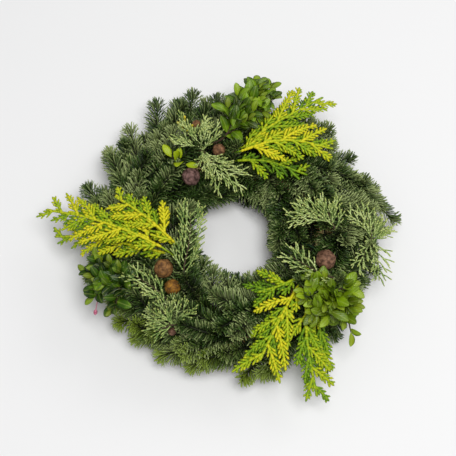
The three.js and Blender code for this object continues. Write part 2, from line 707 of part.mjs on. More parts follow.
const JUNIPER = [
  { turn: 5, theta: 72, root: [-42, 82, 62], via: [[-40, 94, 68]], tip: [-48, 112, 68],
    twigs: [{ at: 0.05, tip: [-8, 82, 74] }] },
  { turn: 5, theta: 104, root: [-30, 70, 66], via: [[-18, 54, 70]], tip: [-7, 34, 61],
    twigs: [{ at: 0.2, tip: [9, 42, 64] }] },
  { turn: 11, theta: 40, way: -1, root: [92, -8, 62], via: [[84, 12, 68]], tip: [68, 34, 68],
    twigs: [{ at: 0.22, tip: [92, 32, 66] }] },
  { turn: 11, theta: 30, way: -1, root: [124, -14, 48], via: [[124, 2, 53]], tip: [116, 18, 54],
    twigs: [{ at: 0.1, tip: [139, -2, 48] }] },
  { turn: 11, theta: 50, root: [93, -54, 66], via: [[72, -47, 73]], tip: [52, -34, 71] },
  { turn: 9, theta: 84, root: [-54, -72, 64], via: [[-70, -60, 68]], tip: [-92, -44, 62] },
  { turn: 9, theta: 66, root: [-48, -92, 60], via: [[-68, -98, 58]], tip: [-92, -102, 48] },
  { turn: 8, theta: 119, root: [-42, -52, 71], via: [[-37, -20, 80]], tip: [-37, 10, 76] },
];

// ---- Cones ----
// A round cone of twelve shields, each raised from a pentagon with a groove round it and a boss.
function coneSolid(radius) {
  const geometry = new THREE.DodecahedronGeometry(radius, 0);
  const place = geometry.getAttribute("position");
  const out = [];
  const face = (...corners) => corners.forEach((c) => out.push(c.x, c.y, c.z));
  for (let i = 0; i < place.count; i += 9) {
    const corners = pentagonOf(place, i);
    const middle = corners.reduce((sum, c) => sum.add(c), vec()).divideScalar(5);
    const rim = corners.map((c) => c.clone().multiplyScalar(0.84));
    const shield = corners.map((c) => middle.clone().lerp(c, 0.8).setLength(radius * 0.97));
    const boss = middle.clone().setLength(radius * 1.06);
    rim.forEach((c, n) => {
      const next = (n + 1) % 5;
      face(c, rim[next], shield[n]);
      face(rim[next], shield[next], shield[n]);
      face(shield[n], shield[next], boss);
    });
  }
  const grown = new THREE.BufferGeometry();
  grown.setAttribute("position", new THREE.Float32BufferAttribute(out, 3));
  return solidOf(grown);
}

// The five corners of a pentagon drawn as three triangles, in order round it.
function pentagonOf(place, first) {
  const corners = [];
  for (let i = first; i < first + 9; i++) {
    const corner = vec().fromBufferAttribute(place, i);
    if (!corners.some((c) => c.distanceTo(corner) < 0.01)) corners.push(corner);
  }
  const middle = corners.reduce((sum, c) => sum.clone().add(c), vec()).divideScalar(5);
  const across = corners[0].clone().sub(middle);
  const up = middle.clone().normalize().cross(across);
  const angle = (c) => Math.atan2(c.clone().sub(middle).dot(up), c.clone().sub(middle).dot(across));
  return corners.sort((a, b) => angle(a) - angle(b));
}

function stalkedCone({ at, radius, phi, theta }) {
  const centre = vec(...at);
  const foot = beside(phi, theta, bedOut(theta, 0.5));
  const knee = foot.clone().lerp(centre, 0.5).addScaledVector(outwardAt(foot), 5);
  const curve = new THREE.QuadraticBezierCurve3(foot, knee, centre);
  const stalk = rod(curve, Math.max(0.9, radius * 0.15), 3, 3);
  return joined([coneSolid(radius).translate(centre.toArray()), solidOf(stalk)]);
}

const CONES = [
  { at: [-37, 45, 64], radius: 8.3, phi: 127, theta: 122 },
  { at: [82, -35, 66], radius: 9, phi: -12, theta: 62 },
  { at: [-60, -43, 66], radius: 8.5, phi: 214, theta: 104 },
  { at: [-52, -60, 66], radius: 7, phi: 236, theta: 100 },
  { at: [-12, 72, 62], radius: 6, phi: 99, theta: 84 },
  { at: [-33, 101, 56], radius: 4, phi: 108, theta: 77 },
  { at: [-52, -97, 55], radius: 3.5, phi: 241, theta: 74 },
];

// ---- The pieces, in the order that gives each its room ----
const STRAW = { color: "#b59a5c", roughness: 0.9 };
const WIRE = { color: "#3d4a3a", roughness: 0.45, metalness: 0.7 };
const FIR = { color: "#4c6b45", roughness: 0.6 };
const GOLD = { color: "#c8c81e", roughness: 0.7 };
const LEAF = { color: "#5a8a20", roughness: 0.4 };
const CORD = { color: "#8a9a6a", roughness: 0.7 };
const CONE = { color: "#6e4638", roughness: 0.7 };

const numbered = (name, n) => `${name}_${String(n + 1).padStart(2, "0")}`;

function addRingAndWire() {
  const curve = new WireCurve();
  const wire = rod(curve, WIRE_RADIUS, 3, WIRE_TURNS * WIRE_STEPS);
  addNode("straw_ring", strawRing(), vec(), STRAW);
  addNode("binding_wire", solidOf(wire), curve.getPoint(0), WIRE);
}

function addCones() {
  CONES.forEach((cone, n) => {
    const foot = beside(cone.phi, cone.theta, STRAW_RADIUS);
    addNode(numbered("cone", n), stalkedCone(cone), foot, CONE);
  });
}

function addSprigs(kind, sprigs, solidFor, stemRadius, look) {
  sprigs.forEach((sprig, n) => {
    const name = numbered(kind, n);
    const curve = stemCurve(sprig, stemRadius);
    addNode(name, solidFor({ ...sprig, name, curve }), curve.getPoint(0), look);
  });
}

function addFir() {
  firSprays().forEach(({ name, main, shoots }) => {
    const solids = shoots.map((shoot, n) => bristled(shoot, FIR_CORE, needle, `${name}/${n}`));
    addNode(name, joined(solids), main.getPoint(0), FIR);
  });
}

addRingAndWire();
addCones();
addSprigs("cypress", CYPRESS, cypressFrond, FROND_STEM, GOLD);
addSprigs("leafy", LEAFY, leafySprig, LEAF_STEM, LEAF);
addSprigs("juniper", JUNIPER, juniperSprig, TWIG_RADIUS, CORD);
addFir();

// The middle of the wreath's underside comes to the origin.
wreath.updateMatrixWorld(true);
const middle = new THREE.Box3().setFromObject(wreath, true).getCenter(vec());
wreath.children.forEach((mesh) => mesh.position.sub(vec(middle.x, middle.y, 0)));

export default wreath;
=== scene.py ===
# %% [markdown]
# # A fresh evergreen wreath
# This lesson dresses a plain faceted model of a bound wreath with finer greenery: fir needles, golden
# cypress, juniper, glossy leaves and round cones. The plain model is the fixed frame. Each finer piece
# takes the place of one of its nodes, grows along the same stems and keeps to about the same size.

# %% Load the frame
import bisect
import math

import bmesh
import bpy
from mathutils import Euler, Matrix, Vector, kdtree
from mathutils.bvhtree import BVHTree


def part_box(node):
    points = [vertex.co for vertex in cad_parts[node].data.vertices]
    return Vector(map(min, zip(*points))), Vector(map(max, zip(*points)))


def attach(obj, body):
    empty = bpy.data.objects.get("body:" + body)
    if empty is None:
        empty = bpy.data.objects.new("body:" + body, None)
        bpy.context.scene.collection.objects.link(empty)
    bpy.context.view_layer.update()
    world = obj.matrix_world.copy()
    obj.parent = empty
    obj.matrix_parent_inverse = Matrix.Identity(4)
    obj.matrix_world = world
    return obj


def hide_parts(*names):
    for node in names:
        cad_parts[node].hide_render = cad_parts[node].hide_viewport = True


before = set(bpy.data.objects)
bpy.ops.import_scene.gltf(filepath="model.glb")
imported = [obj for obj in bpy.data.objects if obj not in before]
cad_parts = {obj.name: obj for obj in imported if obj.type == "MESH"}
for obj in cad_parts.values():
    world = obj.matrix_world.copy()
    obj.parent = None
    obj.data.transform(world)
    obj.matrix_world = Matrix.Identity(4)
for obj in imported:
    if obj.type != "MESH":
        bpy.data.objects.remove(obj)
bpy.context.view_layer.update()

# %% [markdown]
# ## Sizes
# A florist binds sprays clockwise on a straw ring with one long wire. Stems are bound where the wire
# passes over them, so every path below starts from the ring's and the wire's own sizes. All of them
# are in millimetres round the wreath's middle, and become metres only when a mesh is made.

# %% Sizes of the ring and the wire
MM = 0.001
RING_RADIUS = 85.0
STRAW_RADIUS = 18.0
STRAW_SIDES = 12
RING_HEIGHT = 15.5
WIRE_TURNS = 12
WIRE_RADIUS = 0.7
WIRE_FLOOR = 1.3
WIRE_OUT = 25.2
SEAT_GAP = 0.2
TURN = 360 / WIRE_TURNS

ring_low, ring_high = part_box("straw_ring")
MIDDLE = (ring_low + ring_high) / 2
MIDDLE.z = 0
print("middle of the wreath", [round(v * 1000, 1) for v in MIDDLE], "mm")

# %% [markdown]
# ## Places on the ring
# Two angles say where a thing is on a ring: one round the wreath and one round the ring's own
# section. `beside` turns the pair into a point, and the rest say which way is out and up there.

# %% Places and directions
def mix(a, b, t):
    return a + (b - a) * t


def smooth(x, low, high):
    t = min(1.0, max(0.0, (x - low) / (high - low)))
    return t * t * (3 - 2 * t)


def sway(n, salt):
    """A steady, even draw between -1 and 1."""
    return math.sin(12.9898 * n + 78.233 * salt)


def around(phi, radius, z):
    return Vector((radius * math.cos(math.radians(phi)), radius * math.sin(math.radians(phi)), z))


def beside(phi, theta, out):
    across = RING_RADIUS + out * math.cos(math.radians(theta))
    return around(phi, across, RING_HEIGHT + out * math.sin(math.radians(theta)))


def bed_out(theta, stem_radius):
    """How far from the ring's centre line a bound stem lies, on the straw's flat sides."""
    side = 360 / STRAW_SIDES
    from_middle = theta % side - side / 2
    straw = STRAW_RADIUS * math.cos(math.radians(side / 2)) / math.cos(math.radians(from_middle))
    return straw + SEAT_GAP + stem_radius


def outward_at(point):
    phi = math.degrees(math.atan2(point.y, point.x))
    return (point - around(phi, RING_RADIUS, RING_HEIGHT)).normalized()


def skywards(point):
    return (outward_at(point) + Vector((0, 0, 1.6))).normalized()


def wire_angle(turn, theta):
    return turn * TURN + TURN * smooth((theta + 90) / 360, 0.15, 0.85)


print("wire turn 0 crosses the ring's top at", round(wire_angle(0, 90), 1), "degrees")

# %% [markdown]
# ## Paths
# Stems bend smoothly from under the wire to their tips. A path here is a list of points that can be
# read at any share of its length, made from a Bezier curve where the stem has one sweep, or from a
# Catmull-Rom curve where it passes through given places.

# %% A path that can be read anywhere
class Path:
    def __init__(self, points):
        self.points = points
        self.marks = [0.0]
        for a, b in zip(points, points[1:]):
            self.marks.append(self.marks[-1] + (b - a).length)
        self.length = self.marks[-1]

    def at(self, share):
        goal = min(1.0, max(0.0, share)) * self.length
        n = min(len(self.points) - 2, max(0, bisect.bisect_right(self.marks, goal) - 1))
        step = max(1e-9, self.marks[n + 1] - self.marks[n])
        return self.points[n].lerp(self.points[n + 1], (goal - self.marks[n]) / step)

    def ahead(self, share):
        reach = 0.02
        return (self.at(share + reach) - self.at(share - reach)).normalized()

    def part(self, start, end, step=3.0):
        count = max(2, round((end - start) * self.length / step))
        return Path([self.at(mix(start, end, n / count)) for n in range(count + 1)])

    def share_near(self, point):
        return min(range(101), key=lambda n: (self.at(n / 100) - point).length) / 100


print("halfway along a line of 10 mm:", Path([Vector((0, 0, 0)), Vector((10, 0, 0))]).at(0.5).x)


# %% Curves between and through points
def bezier(*corners, steps=48):
    points = []
    for n in range(steps + 1):
        row = list(corners)
        while len(row) > 1:
            row = [a.lerp(b, n / steps) for a, b in zip(row, row[1:])]
        points.append(row[0])
    return Path(points)


def catmull(before, a, b, after, t):
    """A centripetal Catmull-Rom point between a and b."""
    gaps = [max(1e-4, (q - p).length ** 0.5) for p, q in ((before, a), (a, b), (b, after))]
    leave = (a - before) / gaps[0] - (b - before) / (gaps[0] + gaps[1]) + (b - a) / gaps[1]
    reach = (b - a) / gaps[1] - (after - a) / (gaps[1] + gaps[2]) + (after - b) / gaps[2]
    leave, reach = leave * gaps[1], reach * gaps[1]
    bend = (b - a) * 3 - leave * 2 - reach
    twist = (a - b) * 2 + leave + reach
    return a + leave * t + bend * t * t + twist * t * t * t


def through(points, steps=16):
    ends = [points[0] * 2 - points[1], *points, points[-1] * 2 - points[-2]]
    line = [points[0]]
    for n in range(len(points) - 1):
        line += [catmull(*ends[n:n + 4], k / steps) for k in range(1, steps + 1)]
    return Path(line)


def sweep(a, b, t):
    """Between two points, keeping to the curve round the wreath's axis."""
    start, end = (math.degrees(math.atan2(p.y, p.x)) for p in (a, b))
    lead = (end - start + 540) % 360 - 180
    radius = mix(math.hypot(a.x, a.y), math.hypot(b.x, b.y), t)
    return around(start + lead * t, radius, mix(a.z, b.z, t))


halfway = sweep(around(0, RING_RADIUS, 0), around(90, RING_RADIUS, 0), 0.5)
print("halfway along a quarter sweep, the middle is", round(halfway.length, 1), "mm off")

# %% [markdown]
# ## Nodes and colours
# One small function adds any node with its settings and links, for geometry and for materials alike.
# Colours are written as the sRGB hex values seen on a screen, and one function turns them linear.

# %% Nodes and colours
def add(tree, kind, links=None, **settings):
    """A new node. A link is another node's first output, a socket, or a plain value."""
    node = tree.nodes.new(kind)
    for name, value in settings.items():
        setattr(node, name, value)
    for socket, source in (links or {}).items():
        source = source.outputs[0] if isinstance(source, bpy.types.Node) else source
        if isinstance(source, bpy.types.NodeSocket):
            tree.links.new(source, node.inputs[socket])
        else:
            node.inputs[socket].default_value = source
    return node


def linear(hex_colour):
    values = [int(hex_colour[n:n + 2], 16) / 255 for n in (1, 3, 5)]
    return [v / 12.92 if v <= 0.04045 else ((v + 0.055) / 1.055) ** 2.4 for v in values] + [1.0]


def new_material(name, **constants):
    """A material and its shader, with the shader's own sockets set."""
    material = bpy.data.materials.new(name)
    material.use_nodes = True
    shader = material.node_tree.nodes["Principled BSDF"]
    for socket, value in constants.items():
        shader.inputs[socket.replace("_", " ")].default_value = value
    return material, material.node_tree, shader


print("a screen's mid grey is", round(linear("#808080")[0], 3), "in linear light")

# %% [markdown]
# ## One tree for everything that grows along a shoot
# Needles, scale leaves and broad leaves all stand along a stem at a steady spacing, each turned on
# from the last. A loop in the script could place them one by one, but there are tens of thousands,
# so one Geometry Nodes tree grows them all. It spaces points along the shoots, turns each by the
# golden angle within an arc, opens it away from the stem, and puts a leaf there. A ray along each
# leaf cuts it short where it would run into a neighbour. Named inputs set the sizes.

# %% Inputs of the growth tree
GROWTH_INPUTS = {
    "Shoots": "NodeSocketGeometry",
    "Leaf": "NodeSocketObject",
    "Keep clear of": "NodeSocketObject",
    "Spacing": "NodeSocketFloat",  # metres along the shoot
    "Opening": "NodeSocketFloat",  # degrees between leaf and shoot
    "Closing": "NodeSocketFloat",  # the same at the shoot's tip
    "Arc": "NodeSocketFloat",  # degrees round the shoot that leaves fill, from its upper side
    "Evenness": "NodeSocketFloat",  # 1 spreads leaves evenly over the arc, less moves them to its ends
    "Top fold": "NodeSocketFloat",  # share of the opening that is lost on the upper side
    "Rise": "NodeSocketFloat",  # how strongly leaves turn up
    "Face up": "NodeSocketFloat",  # how far a leaf's upper side looks up, not ahead
    "Jitter": "NodeSocketFloat",  # degrees
    "Variation": "NodeSocketFloat",  # share of a leaf's size
    "Reach": "NodeSocketFloat",  # metres, the length of a whole leaf
    "Stem radius": "NodeSocketFloat",  # metres at the foot
    "Taper": "NodeSocketFloat",  # share of it that is gone at the tip
    "Seed": "NodeSocketInt",
    "Leaf material": "NodeSocketMaterial",
    "Stem material": "NodeSocketMaterial",
}


def new_tree(name, inputs):
    tree = bpy.data.node_groups.new(name, "GeometryNodeTree")
    tree.interface.new_socket(name="Geometry", in_out="OUTPUT", socket_type="NodeSocketGeometry")
    for socket, kind in inputs.items():
        tree.interface.new_socket(name=socket, in_out="INPUT", socket_type=kind)
    return tree, tree.nodes.new("NodeGroupInput").outputs


growth, given = new_tree("leaves_along_shoots", GROWTH_INPUTS)
print(len(given) - 1, "inputs")

# %% The frame of each point: ahead along the shoot, up, and to the side
GOLDEN = 0.381966  # share of a full turn between one leaf and the next
curve = add(growth, "GeometryNodeMeshToCurve", {"Mesh": given["Shoots"]})
points = add(growth, "GeometryNodeResampleCurve", {"Curve": curve, "Length": given["Spacing"]},
             mode="LENGTH")
ahead = add(growth, "GeometryNodeInputTangent")
young = add(growth, "GeometryNodeInputNamedAttribute", {"Name": "young"}, data_type="FLOAT")
size = add(growth, "GeometryNodeInputNamedAttribute", {"Name": "size"}, data_type="FLOAT")
up = add(growth, "GeometryNodeInputNamedAttribute", {"Name": "up"}, data_type="FLOAT_VECTOR")
lean = add(growth, "ShaderNodeVectorMath", {0: up, 1: ahead}, operation="DOT_PRODUCT")
leaning = add(growth, "ShaderNodeVectorMath", {0: ahead, "Scale": lean.outputs["Value"]},
              operation="SCALE")
level = add(growth, "ShaderNodeVectorMath", {0: up, 1: leaning}, operation="SUBTRACT")
upper = add(growth, "ShaderNodeVectorMath", {0: level}, operation="NORMALIZE")
side = add(growth, "ShaderNodeVectorMath", {0: ahead, 1: upper}, operation="CROSS_PRODUCT")
print(len(growth.nodes), "nodes for the frame")

# %% The turn round the shoot and the way out of it
index = add(growth, "GeometryNodeInputIndex")
spun = add(growth, "ShaderNodeMath", {0: index, 1: GOLDEN}, operation="MULTIPLY")
within = add(growth, "ShaderNodeMath", {0: spun}, operation="FRACT")
doubled = add(growth, "ShaderNodeMath", {0: within, 1: 2.0, 2: -1.0}, operation="MULTIPLY_ADD")
hand = add(growth, "ShaderNodeMath", {0: doubled}, operation="SIGN")
from_top = add(growth, "ShaderNodeMath", {0: doubled}, operation="ABSOLUTE")
spread_out = add(growth, "ShaderNodeMath", {0: from_top, 1: given["Evenness"]}, operation="POWER")
share = add(growth, "ShaderNodeMath", {0: spread_out, 1: hand}, operation="MULTIPLY")
half_arc = add(growth, "ShaderNodeMath", {0: given["Arc"], 1: math.pi / 360}, operation="MULTIPLY")
turned = add(growth, "ShaderNodeMath", {0: share, 1: half_arc}, operation="MULTIPLY")
turn_cos = add(growth, "ShaderNodeMath", {0: turned}, operation="COSINE")
turn_sin = add(growth, "ShaderNodeMath", {0: turned}, operation="SINE")
out_up = add(growth, "ShaderNodeVectorMath", {0: upper, "Scale": turn_cos}, operation="SCALE")
out_side = add(growth, "ShaderNodeVectorMath", {0: side, "Scale": turn_sin}, operation="SCALE")
outwards = add(growth, "ShaderNodeVectorMath", {0: out_up, 1: out_side}, operation="ADD")
print("each leaf is turned on by", round(GOLDEN * 360, 1), "degrees of a full arc")

# %% The opening angle, closing up towards the shoot's tip
TIP_POWER = 5.0  # the higher, the nearer to the tip the leaves start to close
near_tip = add(growth, "ShaderNodeMath", {0: young, 1: TIP_POWER}, operation="POWER")
opening = add(growth, "ShaderNodeMix", {0: near_tip, 2: given["Opening"], 3: given["Closing"]})
jitter_low = add(growth, "ShaderNodeMath", {0: given["Jitter"], 1: -1.0}, operation="MULTIPLY")
jitter = add(growth, "FunctionNodeRandomValue",
             {2: jitter_low, 3: given["Jitter"], 8: given["Seed"]})
topmost = add(growth, "ShaderNodeMath", {0: turn_cos, 1: 0.0}, operation="MAXIMUM")
lost = add(growth, "ShaderNodeMath", {0: topmost, 1: given["Top fold"]}, operation="MULTIPLY")
left = add(growth, "ShaderNodeMath", {0: 1.0, 1: lost}, operation="SUBTRACT")
folded = add(growth, "ShaderNodeMath", {0: opening, 1: left}, operation="MULTIPLY")
opened = add(growth, "ShaderNodeMath", {0: folded, 1: jitter.outputs[1]}, operation="ADD")
angle = add(growth, "ShaderNodeMath", {0: opened}, operation="RADIANS")
angle_cos = add(growth, "ShaderNodeMath", {0: angle}, operation="COSINE")
angle_sin = add(growth, "ShaderNodeMath", {0: angle}, operation="SINE")
leaf_ahead = add(growth, "ShaderNodeVectorMath", {0: ahead, "Scale": angle_cos}, operation="SCALE")
leaf_out = add(growth, "ShaderNodeVectorMath", {0: outwards, "Scale": angle_sin}, operation="SCALE")
leaf_up = add(growth, "ShaderNodeVectorMath", {0: upper, "Scale": given["Rise"]}, operation="SCALE")
leaf_way = add(growth, "ShaderNodeVectorMath", {0: leaf_ahead, 1: leaf_out}, operation="ADD")
risen = add(growth, "ShaderNodeVectorMath", {0: leaf_way, 1: leaf_up}, operation="ADD")
direction = add(growth, "ShaderNodeVectorMath", {0: risen}, operation="NORMALIZE")
print(len(growth.nodes), "nodes up to a leaf's direction")

# %% The leaf's upper face looks ahead and up, as on a real shoot
FACE_AHEAD = 0.9
face_ahead = add(growth, "ShaderNodeVectorMath", {0: ahead, "Scale": FACE_AHEAD}, operation="SCALE")
face_up = add(growth, "ShaderNodeVectorMath", {0: upper, "Scale": given["Face up"]},
              operation="SCALE")
facing = add(growth, "ShaderNodeVectorMath", {0: face_ahead, 1: face_up}, operation="ADD")
rotation = add(growth, "FunctionNodeAxesToRotation",
               {"Primary Axis": direction, "Secondary Axis": facing},
               primary_axis="Z", secondary_axis="Y")
print("a leaf's length lies along its", rotation.primary_axis, "axis")

# %% Each leaf's own size, cut short by a neighbour or the ground
GROUND_GAP = 1.0 * MM
LEAST_SLOPE = 0.001  # keeps a level leaf from dividing by nothing
LEAST_CUT = 0.3  # a leaf that would be cut shorter than this share is left out
LEAST_SIZE = 0.05  # below this size a stem is bare
least = add(growth, "ShaderNodeMath", {0: 1.0, 1: given["Variation"]}, operation="SUBTRACT")
most = add(growth, "ShaderNodeMath", {0: 1.0, 1: given["Variation"]}, operation="ADD")
varied = add(growth, "FunctionNodeRandomValue", {2: least, 3: most, 8: given["Seed"]})
scale = add(growth, "ShaderNodeMath", {0: size, 1: varied.outputs[1]}, operation="MULTIPLY")
reach = add(growth, "ShaderNodeMath", {0: scale, 1: given["Reach"]}, operation="MULTIPLY")
neighbour = add(growth, "GeometryNodeObjectInfo", {"Object": given["Keep clear of"]})
ray = add(growth, "GeometryNodeRaycast",
          {"Target Geometry": neighbour.outputs["Geometry"], "Ray Direction": direction,
           "Ray Length": reach})
met = add(growth, "ShaderNodeMath", {0: ray.outputs["Hit Distance"], 1: reach}, operation="DIVIDE")
room = add(growth, "ShaderNodeMix", {0: ray.outputs["Is Hit"], 2: 1.0, 3: met})
place = add(growth, "GeometryNodeInputPosition")
height = add(growth, "ShaderNodeSeparateXYZ", {0: place})
slope = add(growth, "ShaderNodeSeparateXYZ", {0: direction})
above = add(growth, "ShaderNodeMath", {0: height.outputs["Z"], 1: GROUND_GAP}, operation="SUBTRACT")
sinking = add(growth, "ShaderNodeMath", {0: slope.outputs["Z"], 1: -1.0}, operation="MULTIPLY")
falling = add(growth, "ShaderNodeMath", {0: sinking, 1: LEAST_SLOPE}, operation="MAXIMUM")
drop = add(growth, "ShaderNodeMath", {0: falling, 1: reach}, operation="MULTIPLY")
ground = add(growth, "ShaderNodeMath", {0: above, 1: drop}, operation="DIVIDE")
nearest = add(growth, "ShaderNodeMath", {0: room, 1: ground}, operation="MINIMUM")
cut = add(growth, "ShaderNodeMath", {0: nearest, 1: 1.0}, operation="MINIMUM")
long_enough = add(growth, "FunctionNodeCompare", {0: cut, 1: LEAST_CUT}, operation="GREATER_THAN")
in_leaf = add(growth, "FunctionNodeCompare", {0: size, 1: LEAST_SIZE}, operation="GREATER_THAN")
kept = add(growth, "FunctionNodeBooleanMath", {0: long_enough, 1: in_leaf}, operation="AND")
long_scale = add(growth, "ShaderNodeMath", {0: scale, 1: cut}, operation="MULTIPLY")
scales = add(growth, "ShaderNodeCombineXYZ", {0: scale, 1: scale, 2: long_scale})
print(len(growth.nodes), "nodes up to a leaf's size")

# %% Put the leaves and the stems together
STEM_STEP = 3.0 * MM
STEM_SIDES = 6
tone = add(growth, "FunctionNodeRandomValue", {2: 0.0, 3: 1.0, 8: given["Seed"]})
toned = add(growth, "GeometryNodeStoreNamedAttribute",
            {"Geometry": points, "Name": "tone", "Value": tone.outputs[1]},
            data_type="FLOAT", domain="POINT")
leaf = add(growth, "GeometryNodeObjectInfo", {"Object": given["Leaf"]})
placed = add(growth, "GeometryNodeInstanceOnPoints",
             {"Points": toned, "Selection": kept, "Instance": leaf.outputs["Geometry"],
              "Rotation": rotation, "Scale": scales})
leaves = add(growth, "GeometryNodeRealizeInstances", {"Geometry": placed})
leaves = add(growth, "GeometryNodeSetMaterial",
             {"Geometry": leaves, "Material": given["Leaf material"]})
sparse = add(growth, "GeometryNodeResampleCurve", {"Curve": curve, "Length": STEM_STEP},
             mode="LENGTH")
tapered = add(growth, "ShaderNodeMath", {0: young, 1: given["Taper"]}, operation="MULTIPLY")
left_over = add(growth, "ShaderNodeMath", {0: 1.0, 1: tapered}, operation="SUBTRACT")
thick = add(growth, "GeometryNodeInputNamedAttribute", {"Name": "thick"}, data_type="FLOAT")
radius = add(growth, "ShaderNodeMath", {0: thick, 1: given["Stem radius"]}, operation="MULTIPLY")
thickness = add(growth, "ShaderNodeMath", {0: left_over, 1: radius}, operation="MULTIPLY")
round_section = add(growth, "GeometryNodeCurvePrimitiveCircle",
                    {"Resolution": STEM_SIDES, "Radius": 1.0})
stems = add(growth, "GeometryNodeCurveToMesh",
            {"Curve": sparse, "Profile Curve": round_section, "Scale": thickness,
             "Fill Caps": True})
stems = add(growth, "GeometryNodeSetMaterial",
            {"Geometry": stems, "Material": given["Stem material"]})
grown = add(growth, "GeometryNodeJoinGeometry", {"Geometry": leaves})
growth.links.new(stems.outputs[0], grown.inputs[0])
smoothed = add(growth, "GeometryNodeSetShadeSmooth", {"Geometry": grown})
add(growth, "NodeGroupOutput", {"Geometry": smoothed})
print(len(growth.nodes), "nodes in the growth tree")

# %% [markdown]
# ## From shoots to a finished piece
# A shoot is a line of points, with which way is up, how young the wood is and how big its leaves are
# at each. `lines_object` stores a spray's shoots as the edges of a mesh, because a mesh keeps such
# marks as attributes. `run_tree` hangs the tree on it, sets the inputs by their sockets'
# identifiers, and keeps the result as a plain mesh, so the tree's modifier can go.

# %% A path as a shoot
def shoot(path, foot=0.0, sizes=(1.0, 1.0, 1.0), step=2.5, **marks):
    """A path as rows of a shoot. foot is the share of it that bears no leaves."""
    rows = []
    count = max(2, round(path.length / step))
    for n in range(count + 1):
        share = n / count
        t = max(0.0, (share - foot) / (1 - foot))
        size = mix(sizes[0], sizes[1], 2 * t) if t < 0.5 else mix(sizes[1], sizes[2], 2 * t - 1)
        point = path.at(share)
        rows.append({"point": point, "up": skywards(point), "young": t, "thick": 1.0,
                     "size": 0.0 if share < foot else size, **marks})
    return rows


test_shoot = shoot(Path([Vector((60, 0, 30)), Vector((110, 0, 30))]))
print("a shoot of 50 mm has", len(test_shoot), "points")


# %% Shoots to mesh
def lines_object(name, lines):
    """The lines' rows as the points of a mesh, with an edge from each to the next."""
    rows, edges = [], []
    for line in lines:
        start = len(rows)
        rows += line
        edges += [(n, n + 1) for n in range(start, len(rows) - 1)]
    mesh = bpy.data.meshes.new(name)
    mesh.from_pydata([(row["point"] * MM + MIDDLE)[:] for row in rows], edges, [])
    for key in [k for k in rows[0] if k != "point"]:
        vector = isinstance(rows[0][key], Vector)
        kind, slot = ("FLOAT_VECTOR", "vector") if vector else ("FLOAT", "value")
        data = mesh.attributes.new(key, kind, "POINT").data
        data.foreach_set(slot, [v for row in rows for v in (row[key] if vector else [row[key]])])
    made = bpy.data.objects.new(name, mesh)
    bpy.context.scene.collection.objects.link(made)
    return made


def run_tree(made, tree, **inputs):
    """Hangs a tree on an object, and keeps what it makes as a plain mesh."""
    modifier = made.modifiers.new("growth", "NODES")
    modifier.node_group = tree
    for item in tree.interface.items_tree:
        name = item.name.lower().replace(" ", "_")
        if item.in_out == "INPUT" and name in inputs:
            modifier[item.identifier] = inputs[name]
    graph = bpy.context.evaluated_depsgraph_get()
    result = bpy.data.meshes.new_from_object(made.evaluated_get(graph), depsgraph=graph,
                                             preserve_all_data_layers=True)
    made.modifiers.clear()
    made.data = result
    return made


print("the growth tree can be run with", len(GROWTH_INPUTS) - 1, "settings")


# %% Ties to the frame
def finish_piece(made, slot, *nodes):
    """Ties a piece to the frame's body, in the place of the nodes named, which it hides; slot is not
    used.
    """
    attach(made, "root")
    if nodes:
        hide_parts(*nodes)
    return made


def triangles(made):
    return sum(len(face.vertices) - 2 for face in made.data.polygons)


# %% [markdown]
# ## A closed blade
# A needle, a scale and a leaf are all blades: rows of points across, that widen and narrow along the
# length, with an upper and a lower side. A flat strip would do for a picture, but it has no
# thickness and only one side. `blade_object` lofts the rows into one closed shell instead, and marks
# the faces of the underside, because a fir needle is paler there.

# %% Blades
def blade_row(z, half, thick, lift=0.0, columns=3, cup=0.0):
    """Points round a blade at height z, from edge to edge above and back below."""
    ways = [1 - 2 * k / (columns - 1) for k in range(columns)]
    above = [(half * a, lift + cup * a * a + thick * (1 - a * a), z) for a in ways]
    below = [(half * a, lift + cup * a * a - thick * (1 - a * a), z) for a in ways[-2:0:-1]]
    return above + below


def blade_object(name, rows, tip):
    """A closed shell from rows of points and a tip."""
    ring = len(rows[0])
    columns = ring // 2 + 1
    faces, under = [], []
    for n in range(len(rows)):
        for k in range(ring):
            a, b = n * ring + k, n * ring + (k + 1) % ring
            top = len(rows) * ring
            faces.append((a, b, top) if n == len(rows) - 1 else (a, b, b + ring, a + ring))
            under.append(float(k >= columns - 1))
    faces.append(tuple(range(ring))[::-1])
    under.append(0.0)
    mesh = bpy.data.meshes.new(name)
    mesh.from_pydata([tuple(v * MM for v in p) for row in [*rows, [tip]] for p in row], [], faces)
    mesh.attributes.new("under", "FLOAT", "FACE").data.foreach_set("value", under)
    along = [n / len(rows) for n in range(len(rows)) for _ in range(ring)] + [1.0]
    mesh.attributes.new("along", "FLOAT", "POINT").data.foreach_set("value", along)
    widest = max(abs(p[0]) for row in rows for p in row)
    across = [p[0] / widest for row in [*rows, [tip]] for p in row]
    mesh.attributes.new("across", "FLOAT", "POINT").data.foreach_set("value", across)
    return bpy.data.objects.new(name, mesh)


print("a row of a blade has", len(blade_row(0, 1, 0.3)), "points")

# %% [markdown]
# ## Fir needles
# Noble fir has blunt, flat needles, about 14 mm long and 1.5 mm wide, that leave the twig at a wide
# angle and curve up. Wax covers them, and makes the underside paler. A needle with bands and a groove
# could be modelled, but it is under two pixels wide in the picture, and there are many. So a
# lens-shaped section of four points is enough.

# %% A fir needle
NEEDLE_LENGTH = 13.6
NEEDLE_WIDTH = 1.55
NEEDLE_THICK = 0.3
NEEDLE_CURVE = 1.8  # how far its end curves up
NEEDLE_OUTLINE = [(0, 0.6), (0.3, 1), (0.86, 0.9)]  # shares of its length and of its width


def needle_row(t, width):
    return blade_row(t * NEEDLE_LENGTH, NEEDLE_WIDTH * width / 2, NEEDLE_THICK,
                     lift=NEEDLE_CURVE * t * t)


